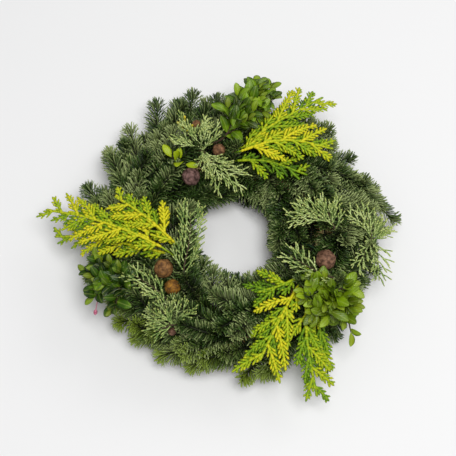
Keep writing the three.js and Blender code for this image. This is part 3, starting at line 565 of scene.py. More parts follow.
needle = blade_object("needle", [needle_row(*place) for place in NEEDLE_OUTLINE],
                      (0, 1.7, NEEDLE_LENGTH))
print("needle", len(needle.data.polygons), "faces")

# %% [markdown]
# ## Plant materials
# Leaves are matt to glossy skins over coloured flesh. Colour changes from leaf to leaf, from old wood
# to young tips and from upper side to underside, so each material mixes a few greens by what the
# growth tree stored on every leaf: its tone, how young it is, and which side a face is on. A shade
# stored on each shoot adds a random step and some painted light and shade to whole twigs, and fir
# needles get painted shade towards their foot.

# %% Plant materials
PATCH_MM = 9.0  # the usual size of a patch of lighter or darker leaves


def plant_material(name, colours, under=None, tip=None, tip_from=0.8, tip_share=0.6,
                   warm=None, foot=None, tone_share=0.8, patch_mm=PATCH_MM, **constants):
    """colours are the darkest to the lightest leaf, and under, tip, warm and foot further ones; foot is
    a painted shade towards each leaf's base.
    """
    layers = []  # how much of a further colour shows, and the colour
    material, tree, shader = new_material(name, **constants)
    tone = add(tree, "ShaderNodeAttribute", attribute_name="tone")
    place = add(tree, "ShaderNodeTexCoord")
    patch = add(tree, "ShaderNodeTexNoise",
                {"Vector": place.outputs["Object"], "Scale": 1 / (patch_mm * MM), "Detail": 2.0})
    spread = add(tree, "ShaderNodeMapRange",
                 {0: patch, 1: 0.3, 2: 0.7, 3: 0.5 - tone_share, 4: 0.5})
    # The stored shade moves a shoot along the ramp: a random step, plus painted shade on fir twigs
    # tucked in deep and painted light on fir twigs at the edges.
    shade = add(tree, "ShaderNodeAttribute", attribute_name="shade")
    shaded = add(tree, "ShaderNodeMath", {0: shade.outputs["Fac"], 1: spread}, operation="ADD")
    toned = add(tree, "ShaderNodeMath", {0: tone.outputs["Fac"], 1: tone_share, 2: shaded},
                operation="MULTIPLY_ADD")
    ramp = add(tree, "ShaderNodeValToRGB", {0: toned})
    stops = ramp.color_ramp.elements
    while len(stops) < len(colours):
        stops.new(0.5)
    for n, colour in enumerate(colours):
        stops[n].position = n / (len(colours) - 1)
        stops[n].color = linear(colour)
    if tip:
        young = add(tree, "ShaderNodeAttribute", attribute_name="young")
        at_tip = add(tree, "ShaderNodeMapRange",
                     {0: young.outputs["Fac"], 1: tip_from, 2: 1.0, 3: 0.0, 4: tip_share})
        layers.append((at_tip, tip))
    if warm:
        warmed = add(tree, "ShaderNodeAttribute", attribute_name="warm")
        layers.append((warmed.outputs["Fac"], warm))
    if under:
        below = add(tree, "ShaderNodeAttribute", attribute_name="under")
        most_below = add(tree, "ShaderNodeMath", {0: below.outputs["Fac"], 1: 0.75},
                         operation="MULTIPLY")
        layers.append((most_below, under))
    # Painted shade: the foot colour darkens each needle towards its base, where its shoot shades it.
    if foot:
        along = add(tree, "ShaderNodeAttribute", attribute_name="along")
        low = add(tree, "ShaderNodeMapRange",
                  {0: along.outputs["Fac"], 1: 0.1, 2: 0.75, 3: 0.95, 4: 0.0})
        layers.append((low, foot))
    result = ramp.outputs[0]
    for share, colour in layers:
        result = add(tree, "ShaderNodeMix", {0: share, 6: result, 7: linear(colour)},
                     data_type="RGBA").outputs[2]
    tree.links.new(result, shader.inputs["Base Color"])
    return material


print("a plant's colours change over patches of", PATCH_MM, "mm")

# %% Fir needle and fir bark
# Its foot colour is painted shade at each needle's base.
fir_skin = plant_material("waxy_fir_needle", ["#111f07", "#426023", "#a5b473"], under="#7f8c50",
                          tip="#a2b35a", tip_from=0.85, tip_share=0.3, warm="#9cb43e",
                          foot="#0c1405", tone_share=0.6, patch_mm=14.0,
                          Roughness=0.36, Specular_IOR_Level=0.4)
fir_bark = plant_material("fir_bark", ["#1c2110", "#343a1e"], patch_mm=2.0, Roughness=0.85)
print("materials", fir_skin.name, fir_bark.name)

# %% [markdown]
# ## Stems of the pieces on top
# These stems start under the wire too, then pass through the places where the greenery is seen.
# A simulation could let them fall into place, but where they lie is the wreath's design, so it is
# listed. Each entry gives the turn of the wire, the angle round the ring's section, the root
# where the greenery starts, the places it passes and its tip.

# %% Stems through given places
CUT_END = 3.5  # degrees from the wire back to a stem's cut end


def stem_path(turn, theta, root, via, tip, stem_radius, way=1):
    start = wire_angle(turn, theta)
    bed = bed_out(theta, stem_radius)
    base = beside(start + CUT_END * way, theta, bed)
    leaving = beside(start - 6 * way, theta, bed + 0.6)
    root = Vector(root)
    return through([base, leaving, sweep(leaving, root, 0.5), root,
                    *(Vector(p) for p in via), Vector(tip)])


def twig_path(path, start, at, tip):
    begin = path.at(mix(start, 1, at))
    end = Vector(tip)
    knee = begin + path.ahead(mix(start, 1, at)) * (begin - end).length * 0.45
    return bezier(begin, knee, end, steps=20)


print("a thin stem is bound", round(bed_out(90, 1.0), 1), "mm from the ring's centre line")

# %% The pieces on top
FROND_STEM = 1.2
SPRIG_STEM = 1.0
CYPRESS = [  # turn, angle, width, root, places on the way, tip, share of gold
    (8, 112, 40, (-47, -25, 69), [(-84, -4, 71), (-132, 14, 62)], (-177, 21, 46), 0.85),
    (8, 126, 34, (-43, -18, 72), [(-66, 10, 76)], (-108, 36, 64), 0.95),
    (8, 140, 26, (-40, -10, 66), [(-56, 14, 69)], (-86, 40, 60), 0.85),
    (8, 98, 30, (-54, -27, 60), [(-92, -20, 62), (-128, -12, 53)], (-158, -10, 38), 0.75),
    (3, 108, 42, (8, 72.6, 68), [(38, 96, 72), (66, 116, 64)], (92, 132, 52), 0.68),
    (3, 120, 40, (8, 66.6, 72), [(46, 76, 76)], (90, 74, 62), 0.9),
    (3, 132, 24, (4, 60.6, 64), [(34, 58, 68)], (66, 50, 58), 0.4),
    (11, 124, 23, (58, -48, 66), [(38, -56, 70)], (12, -62, 62), 0.52),
    (11, 110, 34, (57, -60, 69), [(38, -92, 70)], (16, -134, 50), 0.88),
    (11, 96, 28, (66, -72, 66), [(72, -108, 60)], (74, -152, 34), 0.56),
    (11, 82, 28, (74, -72, 54), [(84, -98, 47)], (94, -134, 30), 0.48),
]
JUNIPER = [  # turn, angle, root, places on the way, tip, direction (1 is clockwise), twig
    (5, 72, (-42, 82, 62), [(-40, 94, 68)], (-48, 112, 68), 1, (0.05, (-8, 82, 74))),
    (5, 104, (-30, 70, 66), [(-18, 54, 70)], (-7, 34, 61), 1, (0.2, (9, 42, 64))),
    (11, 40, (92, -8, 62), [(84, 12, 68)], (68, 34, 68), -1, (0.22, (92, 32, 66))),
    (11, 30, (124, -14, 48), [(124, 2, 53)], (116, 18, 54), -1, (0.1, (139, -2, 48))),
    (11, 50, (93, -54, 66), [(72, -47, 73)], (52, -34, 71), 1, None),
    (9, 84, (-54, -72, 64), [(-70, -60, 68)], (-92, -44, 62), 1, None),
    (9, 66, (-48, -92, 60), [(-68, -98, 58)], (-92, -102, 48), 1, None),
    (8, 119, (-42, -52, 71), [(-37, -20, 80)], (-37, 10, 76), 1, None),
]
LEAFY = [  # turn, angle, root, places on the way, tip, direction, twig
    (4, 84, (-8, 84, 62), [(6, 112, 64)], (26, 142, 56), 1, None),
    (8, 46, (-88, -60, 51), [(-112, -44, 51)], (-134, -28, 44), 1, (0.17, (-130, -66, 42))),
    (11, 74, (88, -58, 56), [(99, -78, 54)], (106, -104, 42), 1, (0.12, (118, -66, 52))),
    (5, 112, (-48, 58, 60), [(-53, 64, 65)], (-58, 72, 67), 1, None),
]
CONES = [  # middle, radius, angles of the foot, how ripe
    ((-37, 45, 64), 8.3, 127, 122, 0.05),
    ((82, -35, 66), 9.0, -12, 62, 0.35),
    ((-60, -43, 66), 8.5, 214, 104, 0.7),
    ((-52, -60, 66), 7.0, 236, 100, 1.0),
    ((-12, 72, 62), 6.0, 99, 84, 0.5),
    ((-33, 101, 56), 4.0, 108, 77, 0.6),
    ((-52, -97, 55), 3.5, 241, 74, 0.3),
]


print(len(CYPRESS), "fronds,", len(JUNIPER) + len(LEAFY), "sprigs and", len(CONES), "cones")


# %% Their paths
def sprig_paths(turn, theta, root, via, tip, way, twig, stem_radius):
    """The bound stem, the share of it where greenery starts, and the twig, if there is one."""
    path = stem_path(turn, theta, root, via, tip, stem_radius, way)
    start = path.share_near(Vector(root))
    return path, start, [twig_path(path, start, *twig)] if twig else []


paths_on_top = {}
for n, (turn, theta, width, root, via, tip, gold) in enumerate(CYPRESS):
    path = stem_path(turn, theta, root, via, tip, FROND_STEM)
    paths_on_top[f"cypress_{n + 1:02d}"] = (path, path.share_near(Vector(root)), [])
for kind, rows in (("juniper", JUNIPER), ("leafy", LEAFY)):
    for n, row in enumerate(rows):
        paths_on_top[f"{kind}_{n + 1:02d}"] = sprig_paths(*row, SPRIG_STEM)
print(len(paths_on_top), "stems in all")

# %% [markdown]
# ## What the fir keeps clear of
# Fronds, sprigs and cones lie on the fir. Copies of their plain solids, joined as one, are what the
# needles' rays test against. The bound part of each stem is left out, because there the needles
# close over it, and so is juniper, whose thin cords stand among the needles. A tree of all these
# faces also tells how near a fir twig may come.

# %% The pieces on top, as one target
def node_shape(name):
    """A node's points in millimetres round the wreath's middle, and its faces."""
    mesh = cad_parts[name].data
    points = [(v.co - MIDDLE) / MM for v in mesh.vertices]
    return points, [tuple(face.vertices) for face in mesh.polygons]


def in_the_open(name, points, face):
    """Whether a face lies past the bound part of its piece's stem."""
    if name not in paths_on_top:
        return True
    path, start, _ = paths_on_top[name]
    middle = sum((points[v] for v in face), Vector()) / len(face)
    return path.share_near(middle) > start


VIEW_ELEVATION = math.radians(70)
FRONT = Vector((0, -math.cos(VIEW_ELEVATION), math.sin(VIEW_ELEVATION)))  # towards the camera


def covers_cone(points, margin):
    """Whether any point stands before a cone, as seen from above in front."""
    for middle, radius, *_ in CONES:
        for point in points:
            gap = point - Vector(middle)
            before = gap.dot(FRONT)
            if before > -radius * 0.5 and (gap - FRONT * before).length < radius + margin:
                return True
    return False


def joined_shapes(kinds):
    points, faces = [], []
    for name in sorted(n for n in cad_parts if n.split("_")[0] in kinds):
        points_here, faces_here = node_shape(name)
        shift = len(points)
        points += points_here
        faces += [tuple(v + shift for v in face) for face in faces_here
                  if in_the_open(name, points_here, face)]
    return points, faces


top_tree = BVHTree.FromPolygons(*joined_shapes(("cypress", "leafy", "juniper", "cone")))
top_points, top_faces = joined_shapes(("cypress", "leafy", "cone"))
top_mesh = bpy.data.meshes.new("pieces_on_top")
top_mesh.from_pydata([(p * MM + MIDDLE)[:] for p in top_points], [], top_faces)
top_target = bpy.data.objects.new("pieces_on_top", top_mesh)
print(len(top_faces), "open faces lie on the fir")

# %% [markdown]
# ## Fir shoots
# Each spray has a main shoot, bound under one turn of the wire, and side shoots in the plane of the
# ring's surface. Where a shoot had to move to keep clear of a neighbour, several ways are possible,
# and the way that the spray's plain node took is the one that runs inside that node.

# %% The rows of sprays
FIR_CORE = 1.7  # radius of a bound fir stem
FIR_ROWS = [  # row, angle, the tip's radius, height and lead, side shoots by share, side and length
    ("outer", 4, 129, 17, 46, [(0.42, 1, 30), (0.6, -1, 28)]),
    ("shoulder", 58, 112, 47, 46, [(0.36, -1, 46), (0.56, 1, 30)]),
    ("crest", 92, 84, 55, 44, [(0.36, -1, 34), (0.56, 1, 30)]),
    ("inner", 154, 46, 33, 54, [(0.4, -1, 30)]),
]
SHIFTS = [(0, 0, 0), (0, 4, 0), (0, 0, 4), (4, 0, 0), (-4, 3, 0), (0, 8, 0), (5, 0, 6), (0, 0, -5),
          (8, 4, 4)]  # ways in which a tip may have moved: degrees, then outwards and up
SIDE_ANGLES = (46, 34, 58, 24, 70)
SIDE_SHARES = (1, 0.8, 0.6)
WIDENING = 8  # how much further the outer row reaches behind, and less in front
UNEVEN_TIPS = 3  # degrees or millimetres by which tips stand off their row
SAME_SHOOT = 2.0  # mm, how near a path runs to the node's shoot that it stands for


print(len(FIR_ROWS), "rows, and", len(SHIFTS), "ways to try for each spray")


# %% Paths that a shoot may take
def bound_path(turn, theta, tip):
    start = wire_angle(turn, theta)
    bed = bed_out(theta, FIR_CORE)
    base = beside(start + CUT_END, theta, bed)
    leaving = beside(start - 7, theta, bed + 0.4)
    return bezier(base, leaving, sweep(leaving, tip, 0.5), tip)


def side_path(parent, t, side, length, bend=46):
    start = parent.at(t)
    ahead = parent.ahead(t)
    radial = Vector((start.x, start.y, 0)).normalized()
    out = outward_at(start)
    over = radial * -out.z + Vector((0, 0, out.dot(radial)))
    lateral = radial if side > 0 else over
    lateral = (lateral - ahead * lateral.dot(ahead)).normalized()
    first, last = (ahead * math.cos(math.radians(b)) + lateral * math.sin(math.radians(b))
                   for b in (bend, bend * 0.6))
    knee = start + first * length * 0.55
    return bezier(start, knee, knee + last * length * 0.45, steps=16)


def inside(paths, tree):
    """The path that runs inside a node's faces, and how far off it is on average."""
    def miss(path):
        marks = [tree.find_nearest(path.at(n / 12))[3] for n in range(3, 13)]
        return sum(marks) / len(marks)
    best = min(paths, key=miss)
    return best, miss(best)


def main_paths(row, r, turn):
    name, theta, radius, height, lead, _ = row
    phi = wire_angle(turn, theta) - lead + UNEVEN_TIPS * sway(turn, r)
    widest = WIDENING * math.sin(math.radians(phi)) if name == "outer" else 0
    radius += widest + UNEVEN_TIPS * sway(turn, r + 7)
    height += UNEVEN_TIPS * sway(turn, r + 4)
    return [bound_path(turn, theta, around(phi + a, radius + b, height + c)) for a, b, c in SHIFTS]


print("a first main shoot is", round(main_paths(FIR_ROWS[0], 0, 0)[0].length), "mm long")

# %% Find each spray's own shoots
fir_sprays = {}
for r, row in enumerate(FIR_ROWS):
    for name in [n for n in sorted(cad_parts) if n.startswith("fir_" + row[0])]:
        tree = BVHTree.FromPolygons(*node_shape(name))
        main, off = inside(main_paths(row, r, int(name[-2:]) - 1), tree)
        sides = []
        for t, way, length in row[5]:
            ways = [side_path(main, t, way, length * s, a)
                    for a in SIDE_ANGLES for s in SIDE_SHARES]
            path, miss = inside(ways, tree)
            if miss < SAME_SHOOT:
                sides.append((t, way, path))
        fir_sprays[name] = {"row": row[0], "main": main, "sides": sides}
        print(name, "off", round(off, 2), "sides", len(sides))

# %% [markdown]
# ## More twigs on each spray
# A real spray has a pair of twigs every two or three centimetres, and together the sprays hide the
# straw. Between the shoots that are already there, each spray gets further twigs. Each takes the way
# that leaves most room to all other shoots, stays off the floor and out of the hole, and ends before
# it would reach the pieces on top.

# %% Twigs that fill the gaps
LEAST_RADIUS = 40.0
LEAST_HEIGHT = 11.0
LEAST_ROOM = 8.0  # to all other shoots
LEAST_OFF_TOP = 3.5  # to the pieces on top
LEAST_OFF_RING = 21.0  # from the ring's centre line
WIDEST = 127.0
TWIG_MARKS = [n / 8 for n in range(3, 9)]  # shares of a twig that are looked at
TWIG_FEET = (0.26, 0.34, 0.44, 0.5, 0.56, 0.66, 0.72, 0.8, 0.86)
TWIG_ANGLES = (50, 38, 62, 28)
TWIG_SHARES = (1, 0.75, 0.55)


def farthest_out(point):
    """The fir's reach, which is widest behind and least in front."""
    phi = math.atan2(point.y, point.x)
    return WIDEST + WIDENING * math.sin(phi)


def shoot_points():
    """All shoots of the sprays, as a tree of points that finds the nearest."""
    lines = [path for spray in fir_sprays.values()
             for path in [spray["main"], *(side[2] for side in spray["sides"])]]
    spots = [line.at(n / 14) for line in lines for n in range(15)]
    tree = kdtree.KDTree(len(spots))
    for n, spot in enumerate(spots):
        tree.insert(spot, n)
    tree.balance()
    return tree


print("behind, the fir reaches out to", round(farthest_out(around(90, 1, 0))), "mm")


# %% Whether a twig fits, and the best that does
def twig_fits(path):
    for t in TWIG_MARKS:
        p = path.at(t)
        across = math.hypot(p.x, p.y)
        if p.z < LEAST_HEIGHT or across < LEAST_RADIUS or across > farthest_out(p):
            return False
        centre = around(math.degrees(math.atan2(p.y, p.x)), RING_RADIUS, RING_HEIGHT)
        if (p - centre).length < LEAST_OFF_RING or top_tree.find_nearest(p)[3] < LEAST_OFF_TOP:
            return False
    return not covers_cone([path.at(t) for t in TWIG_MARKS], 5)


def room_round(path, others):
    return min(others.find(path.at(m))[2] for m in TWIG_MARKS[2:])


def best_twig(main, t, way, length, others):
    """Of the twigs that fit at a place, the one with most room for its length."""
    ways = [side_path(main, t, way, length * s, a) for a in TWIG_ANGLES for s in TWIG_SHARES]
    room = [(room_round(path, others), n) for n, path in enumerate(ways) if twig_fits(path)]
    wide = [(width * ways[n].length ** 0.5, n) for width, n in room if width > LEAST_ROOM]
    return ways[max(wide)[1]] if wide else None


print("each place is tried in", len(TWIG_ANGLES) * len(TWIG_SHARES), "ways")

# %% Add the twigs that fit
LONGEST_TWIG, SHORTEST_TWIG = 44, 24  # at the main shoot's foot and at its tip
SAME_PLACE = 0.05  # share of the main shoot within which two twigs would stand at one place

extra = 0
for name, spray in fir_sprays.items():
    for n, t in enumerate(TWIG_FEET):
        for way in (1, -1):
            if any(abs(t - s[0]) < SAME_PLACE and way == s[1] for s in spray["sides"]):
                continue
            length = mix(LONGEST_TWIG, SHORTEST_TWIG, t) * (1 + 0.1 * sway(n, way + 3))
            path = best_twig(spray["main"], t, way, length, shoot_points())
            if path:
                spray["sides"].append((t, way, path))
                extra += 1
print(extra, "twigs added")

# %% [markdown]
# ## Twigs at both edges
# The outline of a bound wreath is ragged, and so is the rim of its hole, because single twigs stand
# out of the sprays. Random twigs would give some ragged outline. These are listed one by one, so that
# the outline is this wreath's own, and only the rim's twigs follow a rule.

# %% Twigs that stand out in the outline
OUTLINE_TWIGS = [  # angle, radius and height of the foot, then of the tip
    (34, 108, 36, 7, 148, 27), (127, 112, 34, 119, 147, 32), (112, 112, 34, 105, 143, 32),
    (141, 112, 32, 133, 140, 30), (152, 112, 30, 145, 138, 30), (60, 108, 34, 45, 128, 30),
    (26, 112, 34, 20, 136, 28), (-62, 108, 30, -74, 128, 24), (268, 104, 30, 254, 122, 20),
    (242, 104, 30, 228, 124, 20), (30, 112, 34, 3, 131, 28), (38, 106, 40, 12, 138, 31),
    (50, 96, 42, 28, 102, 44), (42, 84, 44, 22, 90, 50), (-2, 92, 48, -18, 98, 50),
    (171, 112, 36, 162, 138, 32), (104, 110, 34, 96, 135, 32), (98, 110, 34, 89, 132, 32),
    (-64, 106, 30, -77, 127, 22), (119, 112, 34, 112, 138, 32), (255, 106, 30, 241, 124, 20),
]
RIM_TWIGS = 22

by_hand = [bezier(around(a, r, z), around(mix(a, b, 0.4), mix(r, q, 0.5), max(z, h) + 3),
                  around(b, q, h)) for a, r, z, b, q, h in OUTLINE_TWIGS]
for n in range(RIM_TWIGS):
    phi = n * 360 / RIM_TWIGS + 5 * sway(n, 1)
    foot = around(phi + 16 + 8 * sway(n, 4), 66, 34 + 3 * sway(n, 5))
    tip = around(phi, 47 + 4 * sway(n, 2), 36 + 5 * sway(n, 3))
    by_hand.append(bezier(foot, foot.lerp(tip, 0.5) + Vector((0, 0, 4)), tip, steps=16))
print(len(by_hand), "twigs placed by hand along both edges")

# %% [markdown]
# ## Short twigs tucked in
# A florist tucks short ends of fir in wherever straw still shows. The script looks for such places in
# three ways: over the straw itself, along the stems of the pieces on top, and under the outer edge.
# It goes round in even steps, and puts a short twig wherever no shoot is near enough to hide the place.

# %% Where the straw would show
LOOKS = [Vector((0, 0, 1)), Vector((0, -0.34, 0.94))]  # from above, and from the front
COVER = 7  # how far a shoot's needles hide what is behind them
TOP_ROOM = 6  # nearer than this to a piece on top, needles are cut short
SIGHT_STEPS = range(4, 44, 4)
ON_STRAW = STRAW_RADIUS + 1.2


def hidden(point, out, shoots):
    """Whether needles stand over a place on the straw, seen from above and from the front."""
    ways = [out, *(look for look in LOOKS if look.dot(out) > 0.2)]
    return all(any(shoots(point + way * s) < COVER
                   and top_tree.find_nearest(point + way * s)[3] > TOP_ROOM
                   for s in SIGHT_STEPS) for way in ways)


def tucked_path(phi, theta, n, out=ON_STRAW):
    """A short twig whose middle is at phi and theta, rising from the straw to its tip."""
    lean = 8 * sway(n, 1)
    base = beside(phi + 10, theta, out)
    middle = beside(phi, theta + lean * 0.4, out + 2.3)
    tip = beside(phi - 9 - 2 * sway(n, 2), theta + lean, out + 6.8)
    return bezier(base, middle, tip, steps=12)


def ring_place(point):
    """The two angles and the distance out that give a point."""
    phi = math.degrees(math.atan2(point.y, point.x))
    from_centre = point - around(phi, RING_RADIUS, RING_HEIGHT)
    across = from_centre.dot(around(phi, 1, 0))
    return phi, math.degrees(math.atan2(from_centre.z, across)), from_centre.length


def nearby_shoots():
    """A function that tells how far a point is from the nearest shoot."""
    spots = [path.at(n / 8) for path in by_hand for n in range(9)]
    lines = shoot_points()
    return lambda point: min(lines.find(point)[2], min((s - point).length for s in spots))


print("straw is looked for", len(SIGHT_STEPS), "steps along each line of sight")


# %% Short twigs over the straw
def taken(spot, room, share=0.5):
    """Whether a twig that is already there passes near a spot."""
    return any((path.at(share) - spot).length < room for path in tucked)


tucked = list(by_hand)
gap_to_shoots = nearby_shoots()
STRAW_ROWS = (90, 60, 120, 30, 150, 8, 172)  # angles round the ring's section, the top ones first
ROW_SHIFT = 0.37  # keeps the rows' twigs from standing in line
for theta in STRAW_ROWS:
    for phi in range(0, 360, 10):
        spot = phi + theta * ROW_SHIFT
        point = beside(spot, theta, STRAW_RADIUS)
        if not taken(point, 15) and not hidden(point, outward_at(point), gap_to_shoots):
            tucked.append(tucked_path(spot, theta, len(tucked)))
print(len(tucked) - len(by_hand), "short twigs over the straw")

# %% Along the stems of the pieces on top
BARE = {"cypress_04": 0.04}  # share past the root that lies below the plumes
COVERS = ((0.2, 0.55), (0.5, 1.0))  # two twigs lie along each bound stem, as shares of it
OVER_STEM = (8, 13, 18)  # heights at which needles hide a stem
LEAST_COVER = 8

for name, (path, start, _) in paths_on_top.items():
    end = mix(start, 1, BARE.get(name, 0.0)) - 6 / path.length
    for low, high in COVERS:
        cover = path.part(low * end, high * end).points
        tucked.append(Path([point + outward_at(point) * 2 + Vector((0, 0, 2.5))
                            for point in cover]))
    for share in (0.25, 0.45, 0.65, 0.85):
        point = path.at(start * share)
        over = [point + Vector((0, 0, z)) for z in OVER_STEM]
        if not taken(point, 12) and not any(gap_to_shoots(p) < LEAST_COVER for p in over):
            phi, theta, out = ring_place(point)
            tucked.append(tucked_path(phi, theta, len(tucked), out + 4))
print(len(tucked) - len(by_hand), "with those along the stems")

# %% Under the outer edge
SKIRT_RADII = (112, 121)
SKIRT_FOOT, SKIRT_HEIGHT, SKIRT_TIP = 24, 14, 17  # an angle on the straw, and two heights

for radius in SKIRT_RADII:
    for phi in range(0, 360, 8):
        spot = around(phi, radius + WIDENING * math.sin(math.radians(phi)), SKIRT_HEIGHT)
        column = [spot + Vector((0, 0, z)) for z in range(0, 48, 6)]
        if not taken(spot, 13, 0.7) and not any(gap_to_shoots(point) < 9 for point in column):
            base = beside(phi + 15, SKIRT_FOOT, ON_STRAW)
            tip = spot + (spot - around(phi, 0, SKIRT_HEIGHT)).normalized() * 5
            tip = around(phi - 9, tip.xy.length, SKIRT_TIP)
            tucked.append(bezier(base, sweep(base, tip, 0.5) + Vector((0, 0, 5)), tip, steps=12))
clear = [path for path in tucked if not covers_cone([path.at(t) for t in (0, 0.5, 1)], 4)]
by_hand = [path for path in clear if path in by_hand]
tucked = [path for path in clear if path not in by_hand]
print(len(tucked), "short twigs tucked in, and", len(by_hand), "at the edges")

# %% [markdown]
# ## Growing the fir
# Every shoot now gets its needles: close together, most on the sides and above, folding forward into
# a tuft at the tip. Needles near a shoot's foot and tip are shorter, so each shoot reads as a soft,
# round-ended brush.

# %% Settings for fir
FIR_GROWTH = dict(leaf=needle, keep_clear_of=top_target, spacing=0.52 * MM, opening=68.0,
                  closing=28.0, arc=200.0, evenness=0.5, top_fold=0.35, rise=0.14, face_up=2.0,
                  jitter=4.5, variation=0.13, reach=NEEDLE_LENGTH * MM, stem_radius=1.2 * MM,
                  taper=0.45, leaf_material=fir_skin, stem_material=fir_bark)
BUD_ANGLES = (-0.45, 0, 0.45)  # radians between the three short shoots at a tip
BUD_LENGTH = 5
# Painted light and shade on whole fir twigs: sprays a little lighter, twigs at the edges lighter, and
# tucked twigs darker, for the shade among the sprays.
SPRAY_PAINTED_LIGHT, EDGE_PAINTED_LIGHT, TUCKED_PAINTED_SHADE = 0.04, 0.12, -0.12
print("a needle every", round(FIR_GROWTH["spacing"] / MM, 2), "mm")


# %% A fir shoot, its painted light and its tip
def bushy_tip(path, size, shade):
    """Three short shoots at a tip, where a fir's buds sit side by side."""
    tip, ahead = path.at(0.98), path.ahead(1)
    up = skywards(tip)
    across = up.cross(ahead).normalized()
    ways = [ahead * math.cos(a) + across * math.sin(a) + up * 0.2 for a in BUD_ANGLES]
    sizes = (size, size * 0.9, size * 0.7)
    return [shoot(Path([tip, tip + way * BUD_LENGTH]), sizes=sizes, step=1.5, thick=0.4,
                  warm=warmth(tip), shade=shade) for way in ways]


def warmth(point):
    """Young yellow-green growth shows along the front edge, on the left."""
    phi = math.degrees(math.atan2(point.y, point.x)) % 360
    edge = smooth(point.xy.length, 106, 126)
    return edge * smooth(phi, 190, 222) * (1 - smooth(phi, 275, 300))


def painted_edge_light(point):
    """Painted light: shoots at the outer edge are painted lighter, most so behind and on the right."""
    phi = (math.degrees(math.atan2(point.y, point.x)) + 40) % 360
    behind = smooth(phi, 0, 20) * (1 - smooth(phi, 210, 240))
    return mix(0.08, 0.22, behind) * smooth(point.xy.length, 90, 122)


def fir_line(path, foot, size, thick, light):
    """A shoot with its tip. Each has a shade of its own: a random step round the painted light that its
    group has, which is painted shade for tucked twigs, plus painted light at the outer edge.
    """
    shade = light + 0.3 * sway(path.length, path.at(1).x) + painted_edge_light(path.at(1))
    rows = shoot(path, foot, sizes=(0.9 * size, size, 0.85 * size), thick=thick, warm=0.0,
                 shade=shade)
    for row in rows:
        row["warm"] = warmth(row["point"]) * row["young"]
    return [rows, *bushy_tip(path, 0.85 * size, shade)]


def fir_shoots(spray):
    lines = fir_line(spray["main"], foot=0.22, size=1.0, thick=1.3, light=SPRAY_PAINTED_LIGHT)
    for _, _, path in spray["sides"]:
        lines += fir_line(path, foot=0.04, size=0.95, thick=0.8, light=SPRAY_PAINTED_LIGHT)
    return lines


print("light at the back edge", round(painted_edge_light(around(90, 130, 30)), 2))

# %% Grow the fir
TUCKED_PIECES = 3
FIRST_TWIG_SEED = 90

needles = 0
for n, (name, spray) in enumerate(fir_sprays.items()):
    made = lines_object("spray_" + name, fir_shoots(spray))
    run_tree(made, growth, seed=n, **FIR_GROWTH)
    finish_piece(made, "fir_needles", name)
    needles += triangles(made)
groups = {"fir_twigs_at_the_edges": (by_hand, 1.0, EDGE_PAINTED_LIGHT)}
for n in range(TUCKED_PIECES):
    groups[f"tucked_fir_twigs_{n + 1}"] = (tucked[n::TUCKED_PIECES], 0.85, TUCKED_PAINTED_SHADE)
for n, (name, (paths, size, light)) in enumerate(groups.items()):
    lines = [line for path in paths for line in fir_line(path, 0.1, size, 0.8, light)]
    made = lines_object(name, lines)
    run_tree(made, growth, seed=FIRST_TWIG_SEED + n, **FIR_GROWTH)
    finish_piece(made, "fir_needles")
    print(name, triangles(made), "triangles")
print("fir sprays", needles, "triangles")

# %% [markdown]
# ## A scale for cypress and juniper
# Both have cords instead of needles: tiny scale leaves that overlap like roof tiles. One scale is a
# small pointed shield, and the growth tree lays one over the next along every cord.

# %% Scales
def scale_object(name, length, half, thick):
    """A pointed shield, widest halfway up."""
    rows = [blade_row(0, half * 0.7, thick * 0.8), blade_row(length * 0.5, half, thick)]
    return blade_object(name, rows, (0, thick * 0.2, length))


cypress_scale = scale_object("cypress_scale", 3.0, 1.0, 0.5)
juniper_scale = scale_object("juniper_scale", 2.2, 0.7, 0.52)
LAID_ON = dict(opening=0.0, closing=0.0, arc=0.0, evenness=1.0, top_fold=0.0, rise=0.0, face_up=1.0,
               variation=0.12)  # settings for scales, which lie along their cord
print("a cypress scale has", len(cypress_scale.data.polygons), "faces")

# %% [markdown]
# ## Golden cypress
# A cypress frond is flat and branches three times in one plane: an axis, plumes that lean forward on
# either side, and short cords on each plume. Branches grown freely in space would make a bush. So the
# layout is drawn flat, as millimetres along and across, and each point is then laid on the frond's
# own curve, with its sides drooping a little.

# %% Layout of a plume
BRANCH_SPACING = 18.0
BRANCH_LEAN = 44.0
FIRST_BRANCH = 4.0
END_MARGIN = 3
CORD_PITCH = 2.3
CORD_LEAN = 40
LONGEST_CORD = 7.5
FORKED_CORD = 6.4  # a cord that would be longer than this forks once more
LEAST_CORD = 1.6


def leaned(start, angle, length, bend=0.0, steps=5):
    """A flat line from a start point, turning by bend degrees on its way."""
    x, y = start
    line = [(x, y)]
    for n in range(steps):
        a = math.radians(angle + bend * (n + 0.5) / steps)
        x += math.cos(a) * length / steps
        y += math.sin(a) * length / steps
        line.append((x, y))
    return line


def plume(start, angle, length, level, tilt):
    """A plume and the cords on both its sides, as flat lines with their level and tilt."""
    bend = -10 if angle > 0 else 10
    stem = leaned(start, angle, length, bend, steps=max(4, round(length / 2)))
    lines = [(stem, level, tilt)]
    count = round(length / CORD_PITCH)
    for n in range(1, count):
        t = n / count
        place = stem[round(t * (len(stem) - 1))]
        reach = min(LONGEST_CORD, 0.34 * length) * (1 - t) ** 0.5 * (0.8 + 0.2 * sway(n, length))
        way = 1 if n % 2 else -1
        lean = angle + bend * t + way * CORD_LEAN
        if reach > FORKED_CORD and level == 1:
            lines += plume(place, lean, reach, 2, tilt)
        elif reach > LEAST_CORD:
            lines.append((leaned(place, lean, reach, -way * 10, steps=3), 3, tilt))
    return lines


print(len(plume((0, 0), BRANCH_LEAN, 35, 1, 0)), "lines in a plume of 35 mm")


